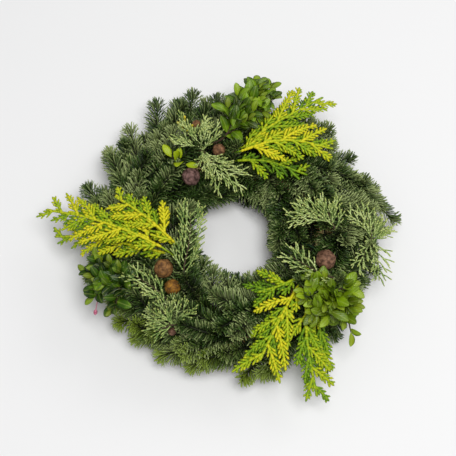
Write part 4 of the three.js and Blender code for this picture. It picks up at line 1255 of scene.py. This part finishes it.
# %% Layout of a frond
def frond_lines(length, width, lean_in=0, narrowing=0.72):
    """The axis and its plumes: on each side a full one and a shorter, lower one in turn."""
    lines = [([(x * length / 40, 0) for x in range(41)], 0, 0)]
    for hand, offset in ((1, FIRST_BRANCH), (-1, FIRST_BRANCH + BRANCH_SPACING / 2)):
        x = offset
        while x < length - END_MARGIN:
            u = x / length
            outline = width * min(1, 0.35 + 2.4 * u) * (1 - narrowing * u)
            reach = outline * (1.18 + 0.14 * sway(x, hand))
            lean = BRANCH_LEAN - lean_in - 4 + 9 * sway(x, hand + 2)
            lines += plume((x, 0), hand * lean, reach, 1, 1.5 * sway(x, hand))
            x += BRANCH_SPACING / 2
            if u < 0.7 and x < length - END_MARGIN:
                lines += plume((x, 0), hand * (BRANCH_LEAN - lean_in - 6), reach * 0.62, 1, -3)
            x += BRANCH_SPACING / 2
    return lines


print(len(frond_lines(130, 40)), "lines in a long frond")

# %% Lay a frond on its curve
LEVEL_SIZES = (1.5, 1.5, 1.4, 1.3)  # of the scales on the axis, plumes, forks and cords
LEVEL_THICKS = (1.0, 0.8, 0.6, 0.5)
DROOP = 0.006  # how fast the sides sink away from the axis
BOUND_GOLD = -1.0  # brown, where the stem is bare


def frond_place(path, x, y, tilt):
    t = min(1.0, max(0.0, x / path.length))
    ahead = path.ahead(t)
    across = Vector((0, 0, 1)).cross(ahead).normalized()
    up = ahead.cross(across)
    lift = 0.5 * math.sin(x / 9) - DROOP * y * y + 0.12 * tilt * abs(y)
    return path.at(t) + across * y + up * lift + ahead * max(0.0, x - path.length), up


def frond_shoots(path, start, width, gold, lean_in, narrowing, axis):
    """A frond's shoots, with its bound stem first. axis gives places where its plumes lie lower."""
    part = through([Vector(p) for p in axis]) if axis else path.part(start, 1.0, step=2.0)
    lines = []
    for flat, level, tilt in frond_lines(part.length, width, lean_in, narrowing):
        rows = []
        for n, (x, y) in enumerate(flat):
            point, up = frond_place(part, x, y, tilt)
            t = n / (len(flat) - 1)
            # The gold falls towards the frond's lime tip. Partly the plant's own colour and partly
            # painted shade and light: cord feet and lower plumes are greener, for the shade between and
            # under them, and lifted plumes more golden.
            gold_and_painted_shade = gold * mix(1.0, 0.6, x / part.length) + 0.14 * tilt
            gold_and_painted_shade += 0.3 * (t - 0.6) if level > 1 else 0.04
            rows.append({"point": point, "up": up, "young": t, "thick": LEVEL_THICKS[level],
                         "size": LEVEL_SIZES[level] * mix(1.0, 0.86, t), "gold": gold_and_painted_shade})
        lines.append(rows)
    foot = path.part(0, max(0.1, start - 0.06)) if axis else path.part(0, start + 0.03)
    foot = Path([*foot.points, part.points[0], part.points[1]])
    bound = shoot(foot, 0.99, (0, 0, 0), thick=1.7, gold=BOUND_GOLD)
    for n, row in enumerate(bound):
        row["gold"] = mix(BOUND_GOLD, 0.6, smooth(n / len(bound), 0.55, 0.85))
    return [bound, *lines]


first_stem, first_root, _ = paths_on_top["cypress_01"]
print("the first frond's plumes start", round(first_root * first_stem.length), "mm along its stem")

# %% [markdown]
# The golden form is bright yellow where the sun reached it and lime to deep green in the shade. One
# colour ramp holds that whole range. Each frond has its own share of gold, and the cords' tips have
# more than their feet. Greener cord feet and lower plumes, and more golden lifted plumes, also paint
# the shade and light between the plumes.

# %% Golden cypress material
GOLDS = [(0.0, "#5a3d22"), (0.42, "#456c0c"), (0.58, "#749a12"), (0.72, "#a2b616"),
         (0.91, "#d8ce20")]  # the shares along the ramp, from brown wood to full sun
LEAF_SPREAD = 0.16  # how much each scale's own share of gold may differ


def golden_material():
    material, tree, shader = new_material("golden_cypress_scale", Roughness=0.6,
                                          Specular_IOR_Level=0.25)
    # gold holds each scale's share of gold, with the painted shade and light laid on it in
    # frond_shoots.
    gold = add(tree, "ShaderNodeAttribute", attribute_name="gold")
    tone = add(tree, "ShaderNodeAttribute", attribute_name="tone")
    spread = add(tree, "ShaderNodeMapRange",
                 {0: tone.outputs["Fac"], 1: 0.0, 2: 1.0, 3: -LEAF_SPREAD, 4: LEAF_SPREAD})
    share = add(tree, "ShaderNodeMath", {0: gold.outputs["Fac"], 1: spread}, operation="ADD")
    along = add(tree, "ShaderNodeMapRange", {0: share, 1: -1.0, 2: 1.2})
    ramp = add(tree, "ShaderNodeValToRGB", {0: along})
    stops = ramp.color_ramp.elements
    for position in (0.3, 0.6, 0.8):
        stops.new(position)
    for stop, (position, colour) in zip(stops, GOLDS):
        stop.position = position
        stop.color = linear(colour)
    tree.links.new(ramp.outputs[0], shader.inputs["Base Color"])
    return material


golden_scale = golden_material()
print("material", golden_scale.name, "with", len(GOLDS), "colours")

# %% Grow the cypress fronds
LEANING_IN = {5: 8, 6: 6, 8: 2, 10: 6, 11: 12}  # degrees by which plumes lie closer to the stem
NARROWING = {8: 0.2, 9: 0.32, 10: 0.5}  # share of the width that is gone at the tip
PLUME_AXES = {  # where a frond's plumed part lies lower than its bound stem
    1: [(-62, -25, 72), (-88, -12, 73), (-110, -2, 68), (-138, 9, 60), (-166, 18, 49)],
    2: [(-50, -22, 74), (-72, -2, 77), (-88, 12, 71), (-103, 24, 64)],
    3: [(-53, -22, 71), (-65, -8, 71), (-80, 11, 65)],
    4: [(-58, -27, 60), (-92, -19, 62), (-126, -9, 54), (-159, -4, 40)],
    5: [(10, 72, 68), (37, 93, 72), (62, 111, 65), (84, 129, 54)],
    8: [(57, -52, 68), (42, -60, 71), (24, -64, 66)],
    9: [(57, -60, 69), (46, -80, 71), (35, -101, 66), (25, -120, 57)],
    10: [(64, -72, 66), (64, -100, 61), (68, -126, 50), (73, -147, 37)],
    11: [(74, -72, 54), (77, -98, 47), (79, -126, 34)],
}


scales_made = 0
for n, (turn, theta, width, root, via, tip, gold) in enumerate(CYPRESS):
    path, start, _ = paths_on_top[f"cypress_{n + 1:02d}"]
    shoots = frond_shoots(path, start, width, gold, LEANING_IN.get(n + 1, 0),
                          NARROWING.get(n + 1, 0.72), PLUME_AXES.get(n + 1))
    made = lines_object(f"frond_{n + 1:02d}", shoots)
    run_tree(made, growth, leaf=cypress_scale, spacing=1.45 * MM, jitter=5.0, reach=3.0 * MM,
             stem_radius=0.55 * MM, taper=0.3, seed=n, leaf_material=golden_scale,
             stem_material=golden_scale, **LAID_ON)
    finish_piece(made, "golden_cypress", f"cypress_{n + 1:02d}")
    scales_made += triangles(made)
print("cypress", scales_made, "triangles")

# %% [markdown]
# ## Juniper
# Juniper branches in all directions, not in one plane. Each twig carries thin cords that leave it at
# a wide angle and straighten, and the longer cords branch once more. A bloom of wax makes the scales
# grey-green, with a few yellow tips where male flowers sit.

# %% Cords that branch from a path
UNEVEN = 0.22  # share by which a cord's length may differ
LIFT = 0.22  # how strongly cords turn up, and how much that differs
LIFT_SPREAD = 0.2


def branching(path, start, pitch, lengths, opening, further=None):
    """Cords on both sides of a path in turn. further gives the same for their own cords."""
    lines = []
    count = max(1, round((1 - start) * path.length / pitch))
    for n in range(count):
        t = mix(start, 1, (n + 0.5) / count)
        foot, ahead, up = path.at(t), path.ahead(t), skywards(path.at(t))
        across = up.cross(ahead).normalized() * (1 if n % 2 else -1)
        length = mix(*lengths, (n + 0.5) / count) * (1 + UNEVEN * sway(n, round(path.length, 1)))
        lift = up * (LIFT + LIFT_SPREAD * sway(n, 5))
        first, last = (ahead * math.cos(math.radians(a)) + across * math.sin(math.radians(a)) + lift
                       for a in (opening, opening * 0.45))
        knee = foot + first.normalized() * length * 0.5
        cord = bezier(foot, knee, knee + last.normalized() * length * 0.5, steps=10)
        if covers_cone([cord.at(m) for m in (0.3, 0.6, 1)], 0):
            continue
        lines.append(cord)
        if further:
            lines += branching(cord, *further)
    return lines


def seen_stems(name, seen_share, twigs_by_hand):
    """The seen part of a sprig's stem, the share of it where greenery starts, and all its twigs."""
    path, start, twigs = paths_on_top[name]
    end = mix(start, 1, seen_share)
    path, start = path.part(0, end), start / end
    twigs = [twig.part(0, seen_share) for twig in twigs]
    twigs += [twig_path(path, start, at, tip) for at, tip in twigs_by_hand]
    return path, start, twigs


juniper_skin = plant_material("waxy_juniper_scale", ["#688640", "#9fb464", "#ccda94"],
                              tip="#c2c466", tip_from=0.8, tip_share=0.45, patch_mm=14.0,
                              Roughness=0.6, Specular_IOR_Level=0.4)
sprig_bark = plant_material("red_brown_twig_bark", ["#3c2c1a", "#5c4228"], patch_mm=2.0,
                            Roughness=0.75)
print("materials", juniper_skin.name, sprig_bark.name)

# %% Grow the juniper sprigs
JUNIPER_TWIGS = {  # for some sprigs, further twigs by the share of the stem and their tips
    1: [(0.1, (-26, 92, 72))],
    2: [(0.0, (-46, 80, 73)), (0.0, (-32, 84, 75)), (0.0, (-20, 84, 74)),
        (0.0, (-20, 60, 74)), (0.0, (-38, 76, 74)), (0.0, (-26, 50, 72))],
    3: [(0.3, (62, 10, 72)), (0.1, (54, 2, 70))],
    4: [(0.0, (131, -46, 46)), (0.0, (112, -36, 54)), (0.0, (106, 8, 60)), (0.0, (136, 0, 50))],
    7: [(0.0, (-38, -80, 68)), (0.0, (-56, -72, 69)), (0.0, (-72, -84, 66))],
}
JUNIPER_CORDS = {1: (0.4, 22), 2: (0.85, 24), 3: (0.42, 17), 4: (0.9, 14), 5: (1, 18),
                 6: (0.85, 18), 7: (0.4, 15), 8: (0.9, 24)}  # share of the stem seen, longest cord
JUNIPER_LIGHT = {2: 0.1, 6: -0.15, 7: -0.25, 8: -0.25}
FORKS = (0.2, 4.2, (9, 5), 36)  # the cords' own cords: foot, pitch, lengths and opening

for n, (seen_share, longest) in JUNIPER_CORDS.items():
    path, start, twigs = seen_stems(f"juniper_{n:02d}", seen_share, JUNIPER_TWIGS.get(n, []))
    shade = JUNIPER_LIGHT.get(n, 0.0)
    lines = [shoot(path, start, sizes=(1.1, 1.0, 0.9), thick=1.6, shade=shade)]
    lines += [shoot(t, 0.02, thick=1.2, shade=shade) for t in twigs]
    for stem, foot in [(path, start), *((t, 0.1) for t in twigs)]:
        cords = branching(stem, foot, 3.5, (longest * 1.05, longest * 0.5), 46, FORKS)
        lines += [shoot(cord, 0.0, step=1.6, thick=0.6, shade=shade) for cord in cords]
    made = lines_object(f"sprig_juniper_{n:02d}", lines)
    run_tree(made, growth, leaf=juniper_scale, spacing=1.1 * MM, jitter=6.0, reach=2.0 * MM,
             stem_radius=0.5 * MM, taper=0.4, seed=n - 1, leaf_material=juniper_skin,
             stem_material=sprig_bark, **LAID_ON)
    finish_piece(made, "grey_juniper", f"juniper_{n:02d}")
    print("juniper", n, triangles(made), "triangles")

# %% [markdown]
# ## Glossy leaves
# These sprigs have small oval leaves with round tips, set closely all round a thin red-brown stem.
# A leaf is 18 mm long, folded a little along its midrib, and its tip bends back. A leaf modelled once
# is enough, because the same growth tree sets the leaves and varies their size and turn, and short
# side shoots fill each sprig out.

# %% A broad leaf
LEAF_LENGTH = 18.0
LEAF_WIDTH = 9.4
LEAF_THICK = 0.16
LEAF_CUP = 1.1  # how far the edges stand above the midrib
LEAF_OUTLINE = [(0.0, 0.14), (0.1, 0.3), (0.28, 0.8), (0.5, 1.0), (0.7, 0.94), (0.86, 0.66),
                (0.96, 0.3)]  # shares of its length and of its width


def leaf_rows():
    for t, width in LEAF_OUTLINE:
        yield blade_row(t * LEAF_LENGTH, LEAF_WIDTH * width / 2, LEAF_THICK, columns=5,
                        cup=LEAF_CUP * width, lift=2.2 * math.sin(2.4 * t) - 2.4 * t * t)


broad_leaf = blade_object("broad_leaf", list(leaf_rows()), (0, -0.7, LEAF_LENGTH))
print("broad leaf", len(broad_leaf.data.polygons), "faces")


# %% Glossy leaf material
VEINS = 50.0  # radians of waves along a leaf: about eight veins on each side
VEIN_SLANT = -0.35
RIB_WIDTH = 0.14  # share of the leaf's half width


def glossy_material():
    material = plant_material("glossy_leaf", ["#1a3006", "#3a5c0a", "#769a14"], under="#587a24",
                              tip="#a4b82c", tip_from=0.75, tip_share=0.35, warm="#a4b814",
                              patch_mm=12.0, Roughness=0.36, Specular_IOR_Level=0.3)
    tree = material.node_tree
    shader = tree.nodes["Principled BSDF"]
    across = add(tree, "ShaderNodeAttribute", attribute_name="across")
    from_rib = add(tree, "ShaderNodeMath", {0: across.outputs["Fac"]}, operation="ABSOLUTE")
    rib = add(tree, "ShaderNodeMapRange", {0: from_rib, 1: 0.0, 2: RIB_WIDTH, 3: 0.3, 4: 0.0})
    skin = shader.inputs["Base Color"].links[0].from_socket
    ribbed = add(tree, "ShaderNodeMix", {0: rib, 6: skin, 7: linear("#b4c064")}, data_type="RGBA")
    tree.links.new(ribbed.outputs[2], shader.inputs["Base Color"])
    along = add(tree, "ShaderNodeAttribute", attribute_name="along")
    slanted = add(tree, "ShaderNodeMath", {0: from_rib, 1: VEIN_SLANT, 2: along.outputs["Fac"]},
                  operation="MULTIPLY_ADD")
    veins = add(tree, "ShaderNodeMath", {0: slanted, 1: VEINS}, operation="MULTIPLY")
    waves = add(tree, "ShaderNodeMath", {0: veins}, operation="SINE")
    bump = add(tree, "ShaderNodeBump", {"Height": waves, "Distance": 0.1 * MM, "Strength": 0.5})
    tree.links.new(bump.outputs[0], shader.inputs["Normal"])
    return material


leaf_skin = glossy_material()
print("material", leaf_skin.name)

# %% Grow the glossy sprigs
LEAFY_LOOKS = {  # share of the stem that bears leaves, how lime, how light, longest shoot, spacing
    1: (0.82, 0.05, 0.08, 15, 2.8), 2: (0.68, 0.0, -0.25, 17, 2.3), 3: (0.5, 0.2, 0.0, 13, 3.0),
    4: (0.25, 0.9, 0.0, 0, 4.5)}
LEAFY_TWIGS = {
    1: [(0.2, (14, 98, 70)), (0.4, (27, 110, 67)), (0.5, (34, 124, 62)), (0.6, (33, 136, 58))],
    2: [(0.0, (-104, -68, 50)), (0.2, (-118, -40, 54))],
    3: [(0.0, (70, -54, 68)), (0.0, (78, -70, 68)), (0.0, (100, -56, 60)), (0.0, (63, -70, 70)),
        (0.0, (72, -86, 66))],
    4: [(0.0, (-55, 63, 66)), (0.0, (-42, 56, 66))],
}
LEAF_SIZES = {2: (0.8, 0.85, 0.6)}  # at the foot, in the middle and at the tip, where not the usual
USUAL_SIZES = (0.95, 1.0, 0.7)


def bare_end(seen_share):
    """The third sprig's stem runs on bare past its leaves, and bears leaves again near its end."""
    path, start, _ = paths_on_top["leafy_03"]
    end = mix(start, 1, seen_share)
    bare = path.part(end, mix(end, 1, 0.62))
    return shoot(bare, 0.74, sizes=(0.9, 1.0, 0.8), thick=1.0, warm=0.4, shade=0.1)


for n, (seen_share, lime, light, longest, spacing) in LEAFY_LOOKS.items():
    path, start, twigs = seen_stems(f"leafy_{n:02d}", seen_share, LEAFY_TWIGS[n])
    marks = {"sizes": LEAF_SIZES.get(n, USUAL_SIZES), "warm": lime, "shade": light}
    lines = [shoot(path, start, thick=1.6, **marks)]
    lines += [shoot(t, 0.1, thick=1.2, **marks) for t in twigs]
    for stem, foot in [(path, start), *((t, 0.1) for t in twigs)] if longest else []:
        sides = branching(stem, foot, 10, (longest, longest * 0.6), 48)
        lines += [shoot(side, 0.2, thick=0.8, **marks) for side in sides]
    if n == 3:
        lines.append(bare_end(seen_share))
    made = lines_object(f"sprig_leafy_{n:02d}", lines)
    run_tree(made, growth, leaf=broad_leaf, spacing=spacing * MM, opening=60.0, closing=26.0,
             arc=300.0, evenness=1.0, top_fold=0.2, rise=0.12, face_up=1.6, jitter=12.0,
             variation=0.16, reach=LEAF_LENGTH * MM, stem_radius=0.65 * MM, taper=0.4, seed=n - 1,
             leaf_material=leaf_skin, stem_material=sprig_bark)
    finish_piece(made, "glossy_leaves", f"leafy_{n:02d}")
    print("leafy", n, triangles(made), "triangles")

# %% [markdown]
# ## Round cones
# A cypress cone is a ball of a dozen shields, with a groove between them and a small spike in the
# middle of each. The shields could be sculpted one by one. Here a finely divided ball is enough: each
# point moves in or out by how near it lies to its own shield's centre and to the next one, so grooves
# and spikes follow from one rule.

# %% Shape a cone
GOLDEN_RATIO = (1 + 5 ** 0.5) / 2
SHIELDS = [Vector(v).normalized() for a in (-1, 1) for b in (-GOLDEN_RATIO, GOLDEN_RATIO)
           for v in ((0, a, b), (a, b, 0), (b, 0, a))]
SHIELD_JITTER = 0.16
SHIELDS = [(v + Vector((sway(n, 1), sway(n, 2), sway(n, 3))) * SHIELD_JITTER).normalized()
           for n, v in enumerate(SHIELDS)]


def cone_surface(direction):
    """A cone's surface as a share of its radius, and how much of a groove and of a spike it is."""
    angles = sorted(direction.angle(shield) for shield in SHIELDS)
    seam = smooth(angles[1] - angles[0], 0.0, 0.14)
    spike = 1 - smooth(angles[0], 0.04, 0.17)
    dome = math.cos(angles[0] * 1.6)
    return 0.88 + 0.05 * seam + 0.06 * dome + 0.06 * spike, 0.7 - 0.7 * seam, 0.6 * spike


def cone_object(name, middle, radius, ripe, n):
    ball = bmesh.new()
    bmesh.ops.create_icosphere(ball, subdivisions=5, radius=1)
    turn = Euler((1.3 * n, 0.9 * n, 2.1 * n)).to_matrix()
    grooves, spikes = [], []
    for vert in ball.verts:
        direction = vert.co.normalized()
        out, groove, spike = cone_surface(direction)
        vert.co = (turn @ direction * radius * out + Vector(middle)) * MM + MIDDLE
        grooves.append(groove)
        spikes.append(spike)
    mesh = bpy.data.meshes.new(name)
    ball.to_mesh(mesh)
    ball.free()
    for key, values in (("groove", grooves), ("spike", spikes), ("ripe", [ripe] * len(grooves))):
        mesh.attributes.new(key, "FLOAT", "POINT").data.foreach_set("value", values)
    mesh.shade_smooth()
    made = bpy.data.objects.new(name, mesh)
    bpy.context.scene.collection.objects.link(made)
    return made


print(len(SHIELDS), "shields on a cone")

# %% [markdown]
# Young cones are purple-brown with a bluish bloom, and older ones turn to orange-brown wood. The
# grooves are dark, and fine pits of about half a millimetre roughen each shield.

# %% Cone material
def cone_material():
    material, tree, shader = new_material("cone_scale", Roughness=0.72, Specular_IOR_Level=0.35)
    ripe = add(tree, "ShaderNodeAttribute", attribute_name="ripe")
    groove = add(tree, "ShaderNodeAttribute", attribute_name="groove")
    spike = add(tree, "ShaderNodeAttribute", attribute_name="spike")
    place = add(tree, "ShaderNodeTexCoord")
    mottle = add(tree, "ShaderNodeTexNoise",
                 {"Vector": place.outputs["Object"], "Scale": 1 / (3.5 * MM), "Detail": 6.0})
    contrast = add(tree, "ShaderNodeMapRange", {0: mottle, 1: 0.36, 2: 0.64})
    young, old = (add(tree, "ShaderNodeMix", {0: contrast, 6: linear(dark), 7: linear(pale)},
                      data_type="RGBA").outputs[2]
                  for dark, pale in (("#36211f", "#846460"), ("#5c3a0a", "#a0701e")))
    result = young
    for share, colour in ((ripe, old), (spike, linear("#5c4030")), (groove, linear("#41291e"))):
        result = add(tree, "ShaderNodeMix", {0: share.outputs["Fac"], 6: result, 7: colour},
                     data_type="RGBA").outputs[2]
    tree.links.new(result, shader.inputs["Base Color"])
    pits = add(tree, "ShaderNodeTexVoronoi",
               {"Vector": place.outputs["Object"], "Scale": 1 / (0.6 * MM)})
    bump = add(tree, "ShaderNodeBump", {"Height": pits, "Distance": 0.3 * MM, "Strength": 0.8})
    tree.links.new(bump.outputs[0], shader.inputs["Normal"])
    return material


cone_skin = cone_material()
print("material", cone_skin.name)

# %% [markdown]
# ## Round tubes
# The binding wire and the cones' stalks are plain round tubes along a path. A curve object with a
# bevel would draw them too. A second, smaller tree keeps them in step with the rest: the path's
# points carry the radius, and the result is a plain mesh.

# %% A tree for tubes
tubes, tube_given = new_tree("tube_along_a_path", {
    "Lines": "NodeSocketGeometry", "Sides": "NodeSocketInt", "Material": "NodeSocketMaterial"})
tube_curve = add(tubes, "GeometryNodeMeshToCurve", {"Mesh": tube_given["Lines"]})
tube_radius = add(tubes, "GeometryNodeInputNamedAttribute", {"Name": "radius"}, data_type="FLOAT")
tube_section = add(tubes, "GeometryNodeCurvePrimitiveCircle",
                   {"Resolution": tube_given["Sides"], "Radius": 1.0})
tube_mesh = add(tubes, "GeometryNodeCurveToMesh",
                {"Curve": tube_curve, "Profile Curve": tube_section, "Scale": tube_radius,
                 "Fill Caps": True})
tube_smooth = add(tubes, "GeometryNodeSetShadeSmooth", {"Geometry": tube_mesh})
tube_done = add(tubes, "GeometryNodeSetMaterial",
                {"Geometry": tube_smooth, "Material": tube_given["Material"]})
add(tubes, "NodeGroupOutput", {"Geometry": tube_done})


def tube_object(name, path, radii, material, sides=12, step=1.0):
    """A round tube whose radius runs from the first to the last of radii, in millimetres."""
    count = round(path.length / step)
    rows = [{"point": path.at(n / count), "radius": mix(*radii, n / count) * MM}
            for n in range(count + 1)]
    return run_tree(lines_object(name, [rows]), tubes, sides=sides, material=material)


print(len(tubes.nodes), "nodes in the tree for tubes")

# %% Make the cones with their stalks
for n, (middle, radius, phi, theta, ripe) in enumerate(CONES):
    name = f"cone_{n + 1:02d}"
    foot = beside(phi, theta, bed_out(theta, 0.5))
    end = Vector(middle)
    knee = foot.lerp(end, 0.5) + outward_at(foot) * 5
    stalk_path = bezier(foot, knee, end, steps=24)
    thick = max(0.9, radius * 0.15)
    stalk = tube_object(f"stalk_of_{name}", stalk_path, (thick, thick), sprig_bark)
    finish_piece(stalk, "cone_scales")
    cone = cone_object(f"ball_of_{name}", middle, radius, ripe, n)
    cone.data.materials.append(cone_skin)
    finish_piece(cone, "cone_scales", name)
print(len(CONES), "cones of", triangles(cone), "triangles")

# %% [markdown]
# ## Small buds
# One pink bud hangs below the left leafy sprig, and yellow pollen cones stand on one juniper twig.
# At a millimetre or two across they need no petals or scales of their own. Each is a tube, whose
# radius swells past the end of its thin stalk.

# %% Buds on thin stalks
POLLEN_TIPS = ((-43, 97, 83), (-50, 92, 80), (-35, 88, 82), (-40, 82, 83))


def bud_object(name, foot, tip, radius, length, material):
    foot, tip = Vector(foot), Vector(tip)
    path = bezier(foot, foot.lerp(tip, 0.5) + Vector((0, 0, 3)), tip)
    count = 24
    rows = []
    for n in range(count + 1):
        left = (1 - n / count) * path.length
        swell = math.sin(math.pi * min(1, left / length)) ** 0.7 if left < length else 0
        stalk = 0.4 if left > length * 0.5 else 0.05
        rows.append({"point": path.at(n / count), "radius": max(stalk, radius * swell) * MM})
    return run_tree(lines_object(name, [rows]), tubes, sides=10, material=material)


pink_petal = plant_material("pink_bud_petal", ["#a8506c", "#d98098", "#ecb4b8"], patch_mm=1.5,
                            Roughness=0.5)
pollen_cone = plant_material("juniper_pollen_cone", ["#b8a81c", "#dccc30", "#f0e868"], patch_mm=1.0,
                             Roughness=0.6)
finish_piece(bud_object("pink_bud", (-118, -60, 46), (-122, -77, 36), 1.9, 6, pink_petal),
             "glossy_leaves")
for n, tip in enumerate(POLLEN_TIPS):
    bud = bud_object(f"pollen_cone_{n + 1}", (-42, 88, 66), tip, 1.2, 4, pollen_cone)
    finish_piece(bud, "grey_juniper")
print("buds of", triangles(bud), "triangles")

# %% [markdown]
# ## Straw and wire
# The ring form is bundled straw, pulled in underneath by the wire. Its own node keeps the form, with
# a straw material. A bump in that material would look right from above, but not at the edges. So
# loose stalks lie on it, grown by the same tree as the needles, along circles that are found on the
# ring's own surface. The wire runs round everything, coated in dark green.

# %% Straw stalks on the ring
STALK_LENGTH = 24.0
STALK_SUNK = 0.55  # how deep a stalk's middle lies in the ring's surface
STALK_FLOOR = 0.9  # the lowest a stalk's middle lies, so that none goes through the ground
straw_skin = plant_material("straw_stalk", ["#a88c50", "#c9ae6c", "#e2cd92"], patch_mm=6.0,
                            Roughness=0.5)
stalk_blade = blade_object("straw_stalk_blade",
                           [blade_row(0, 0.7, 0.45), blade_row(8, 0.85, 0.5),
                            blade_row(16, 0.8, 0.5)],
                           (0, 0.1, STALK_LENGTH))
ring_surface = BVHTree.FromPolygons(*node_shape("straw_ring"))


def circle_on_ring(theta):
    rows = []
    for phi in range(0, 361, 3):
        centre = around(phi, RING_RADIUS, RING_HEIGHT)
        out = (beside(phi, theta, 1) - centre).normalized()
        point = ring_surface.ray_cast(centre, out)[0] - out * STALK_SUNK
        point.z = max(point.z, STALK_FLOOR)
        rows.append({"point": point, "up": out, "young": 0.0, "thick": 1.0, "size": 1.0})
    return rows


circles = [circle_on_ring(theta) for theta in range(0, 360, 9)]
straw = lines_object("straw_stalks", circles)
run_tree(straw, growth, leaf=stalk_blade, spacing=7.0 * MM, opening=4.0, closing=4.0, arc=0.0,
         evenness=1.0, top_fold=0.0, rise=0.0, face_up=1.0, jitter=4.0, variation=0.2,
         reach=STALK_LENGTH * MM, stem_radius=0.7 * MM, taper=0.0, seed=5, leaf_material=straw_skin,
         stem_material=straw_skin)
finish_piece(straw, "straw")
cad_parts["straw_ring"].material_slots[0].material = straw_skin
print("straw", triangles(straw), "triangles")

# %% The binding wire
WIRE_POINTS = 720
WIRE_END = 0.02  # share of a turn that is left out at each end
UNDERSIDE = 62  # degrees on either side of the lowest point, where the wire draws the straw in


def wire_path():
    points = []
    for n in range(WIRE_POINTS + 1):
        turns = mix(WIRE_END, WIRE_TURNS - WIRE_END, n / WIRE_POINTS)
        theta = -90 + 360 * (turns % 1)
        lift = smooth(180 - abs(theta - 90), 0, UNDERSIDE)
        out = mix(RING_HEIGHT - WIRE_FLOOR, WIRE_OUT, lift)
        point = beside(wire_angle(int(turns), theta), theta, out)
        point.z = max(point.z, WIRE_FLOOR)
        points.append(point)
    return Path(points)


green_wire = plant_material("green_coated_wire", ["#1f3a24", "#2c4f30"], patch_mm=20.0,
                            Roughness=0.35)
wire = tube_object("round_binding_wire", wire_path(), (WIRE_RADIUS, WIRE_RADIUS), green_wire)
finish_piece(wire, "binding_wire", "binding_wire")
print("wire", triangles(wire), "triangles")

# %% [markdown]
# ## The shot
# The wreath lies on a plain pale floor under soft studio light, seen from a steep angle in front. One
# large soft box overhead gives the soft shadow, a second one from the back right lights the edges,
# and a dim white surround keeps the shadows open.

# %% Floor
FLOOR_HALF = 3.0  # metres
FLOOR_CORNERS = ((-1, -1), (1, -1), (1, 1), (-1, 1))
floor_skin, _, _ = new_material("pale_floor", Roughness=0.9, Specular_IOR_Level=0.1,
                                Base_Color=linear("#ebebeb"))
floor_mesh = bpy.data.meshes.new("floor")
floor_mesh.from_pydata([(x * FLOOR_HALF, y * FLOOR_HALF, 0) for x, y in FLOOR_CORNERS], [],
                       [(0, 1, 2, 3)])
floor_mesh.materials.append(floor_skin)
floor = bpy.data.objects.new("floor", floor_mesh)
bpy.context.scene.collection.objects.link(floor)
print("floor", 2 * FLOOR_HALF, "m wide")

# %% Camera
DISTANCE = 1.0  # metres from the middle of the view
PIXELS = 456  # the picture's width
FOCAL_PIXELS = 1096  # the focal length in the picture's pixels
PIXELS_PER_MM = FOCAL_PIXELS / (DISTANCE * 1000)
SENSOR = 36  # millimetres
SEEN_HEIGHT = 38  # the height of the plane that PIXELS_PER_MM holds for
RIGHT_SHIFT, DOWN_SHIFT = 4, 5  # pixels by which the wreath stands off the picture's middle

screen_up = Vector((0, math.sin(VIEW_ELEVATION), math.cos(VIEW_ELEVATION)))
seen = MIDDLE + Vector((0, 0, SEEN_HEIGHT * MM))
seen += (Vector((-RIGHT_SHIFT, 0, 0)) * MM / PIXELS_PER_MM
         + screen_up * DOWN_SHIFT * MM / PIXELS_PER_MM)
camera_data = bpy.data.cameras.new("camera")
camera_data.lens = SENSOR * FOCAL_PIXELS / PIXELS
camera_data.sensor_width = SENSOR
camera = bpy.data.objects.new("camera", camera_data)
camera.location = seen + FRONT * DISTANCE
camera.rotation_euler = FRONT.to_track_quat("Z", "Y").to_euler()
bpy.context.scene.collection.objects.link(camera)
bpy.context.scene.camera = camera
bpy.context.scene.view_settings.view_transform = "Standard"
print("lens", round(camera_data.lens, 1), "mm")

# %% Light
world = bpy.data.worlds.new("studio")
world.use_nodes = True
world.node_tree.nodes["Background"].inputs["Color"].default_value = linear("#f4f4f5")
world.node_tree.nodes["Background"].inputs["Strength"].default_value = 0.38
bpy.context.scene.world = world


def soft_light(name, place, size, power):
    data = bpy.data.lights.new(name, "AREA")
    data.size = size
    data.energy = power
    lamp = bpy.data.objects.new(name, data)
    lamp.location = place
    lamp.rotation_euler = Vector(place).to_track_quat("Z", "Y").to_euler()
    bpy.context.scene.collection.objects.link(lamp)


soft_light("softbox_overhead", (0.25, -0.3, 1.9), 0.9, 28)
soft_light("softbox_right", (1.2, 1.0, 1.3), 0.8, 5.5)
print(len(bpy.data.lights), "soft boxes")
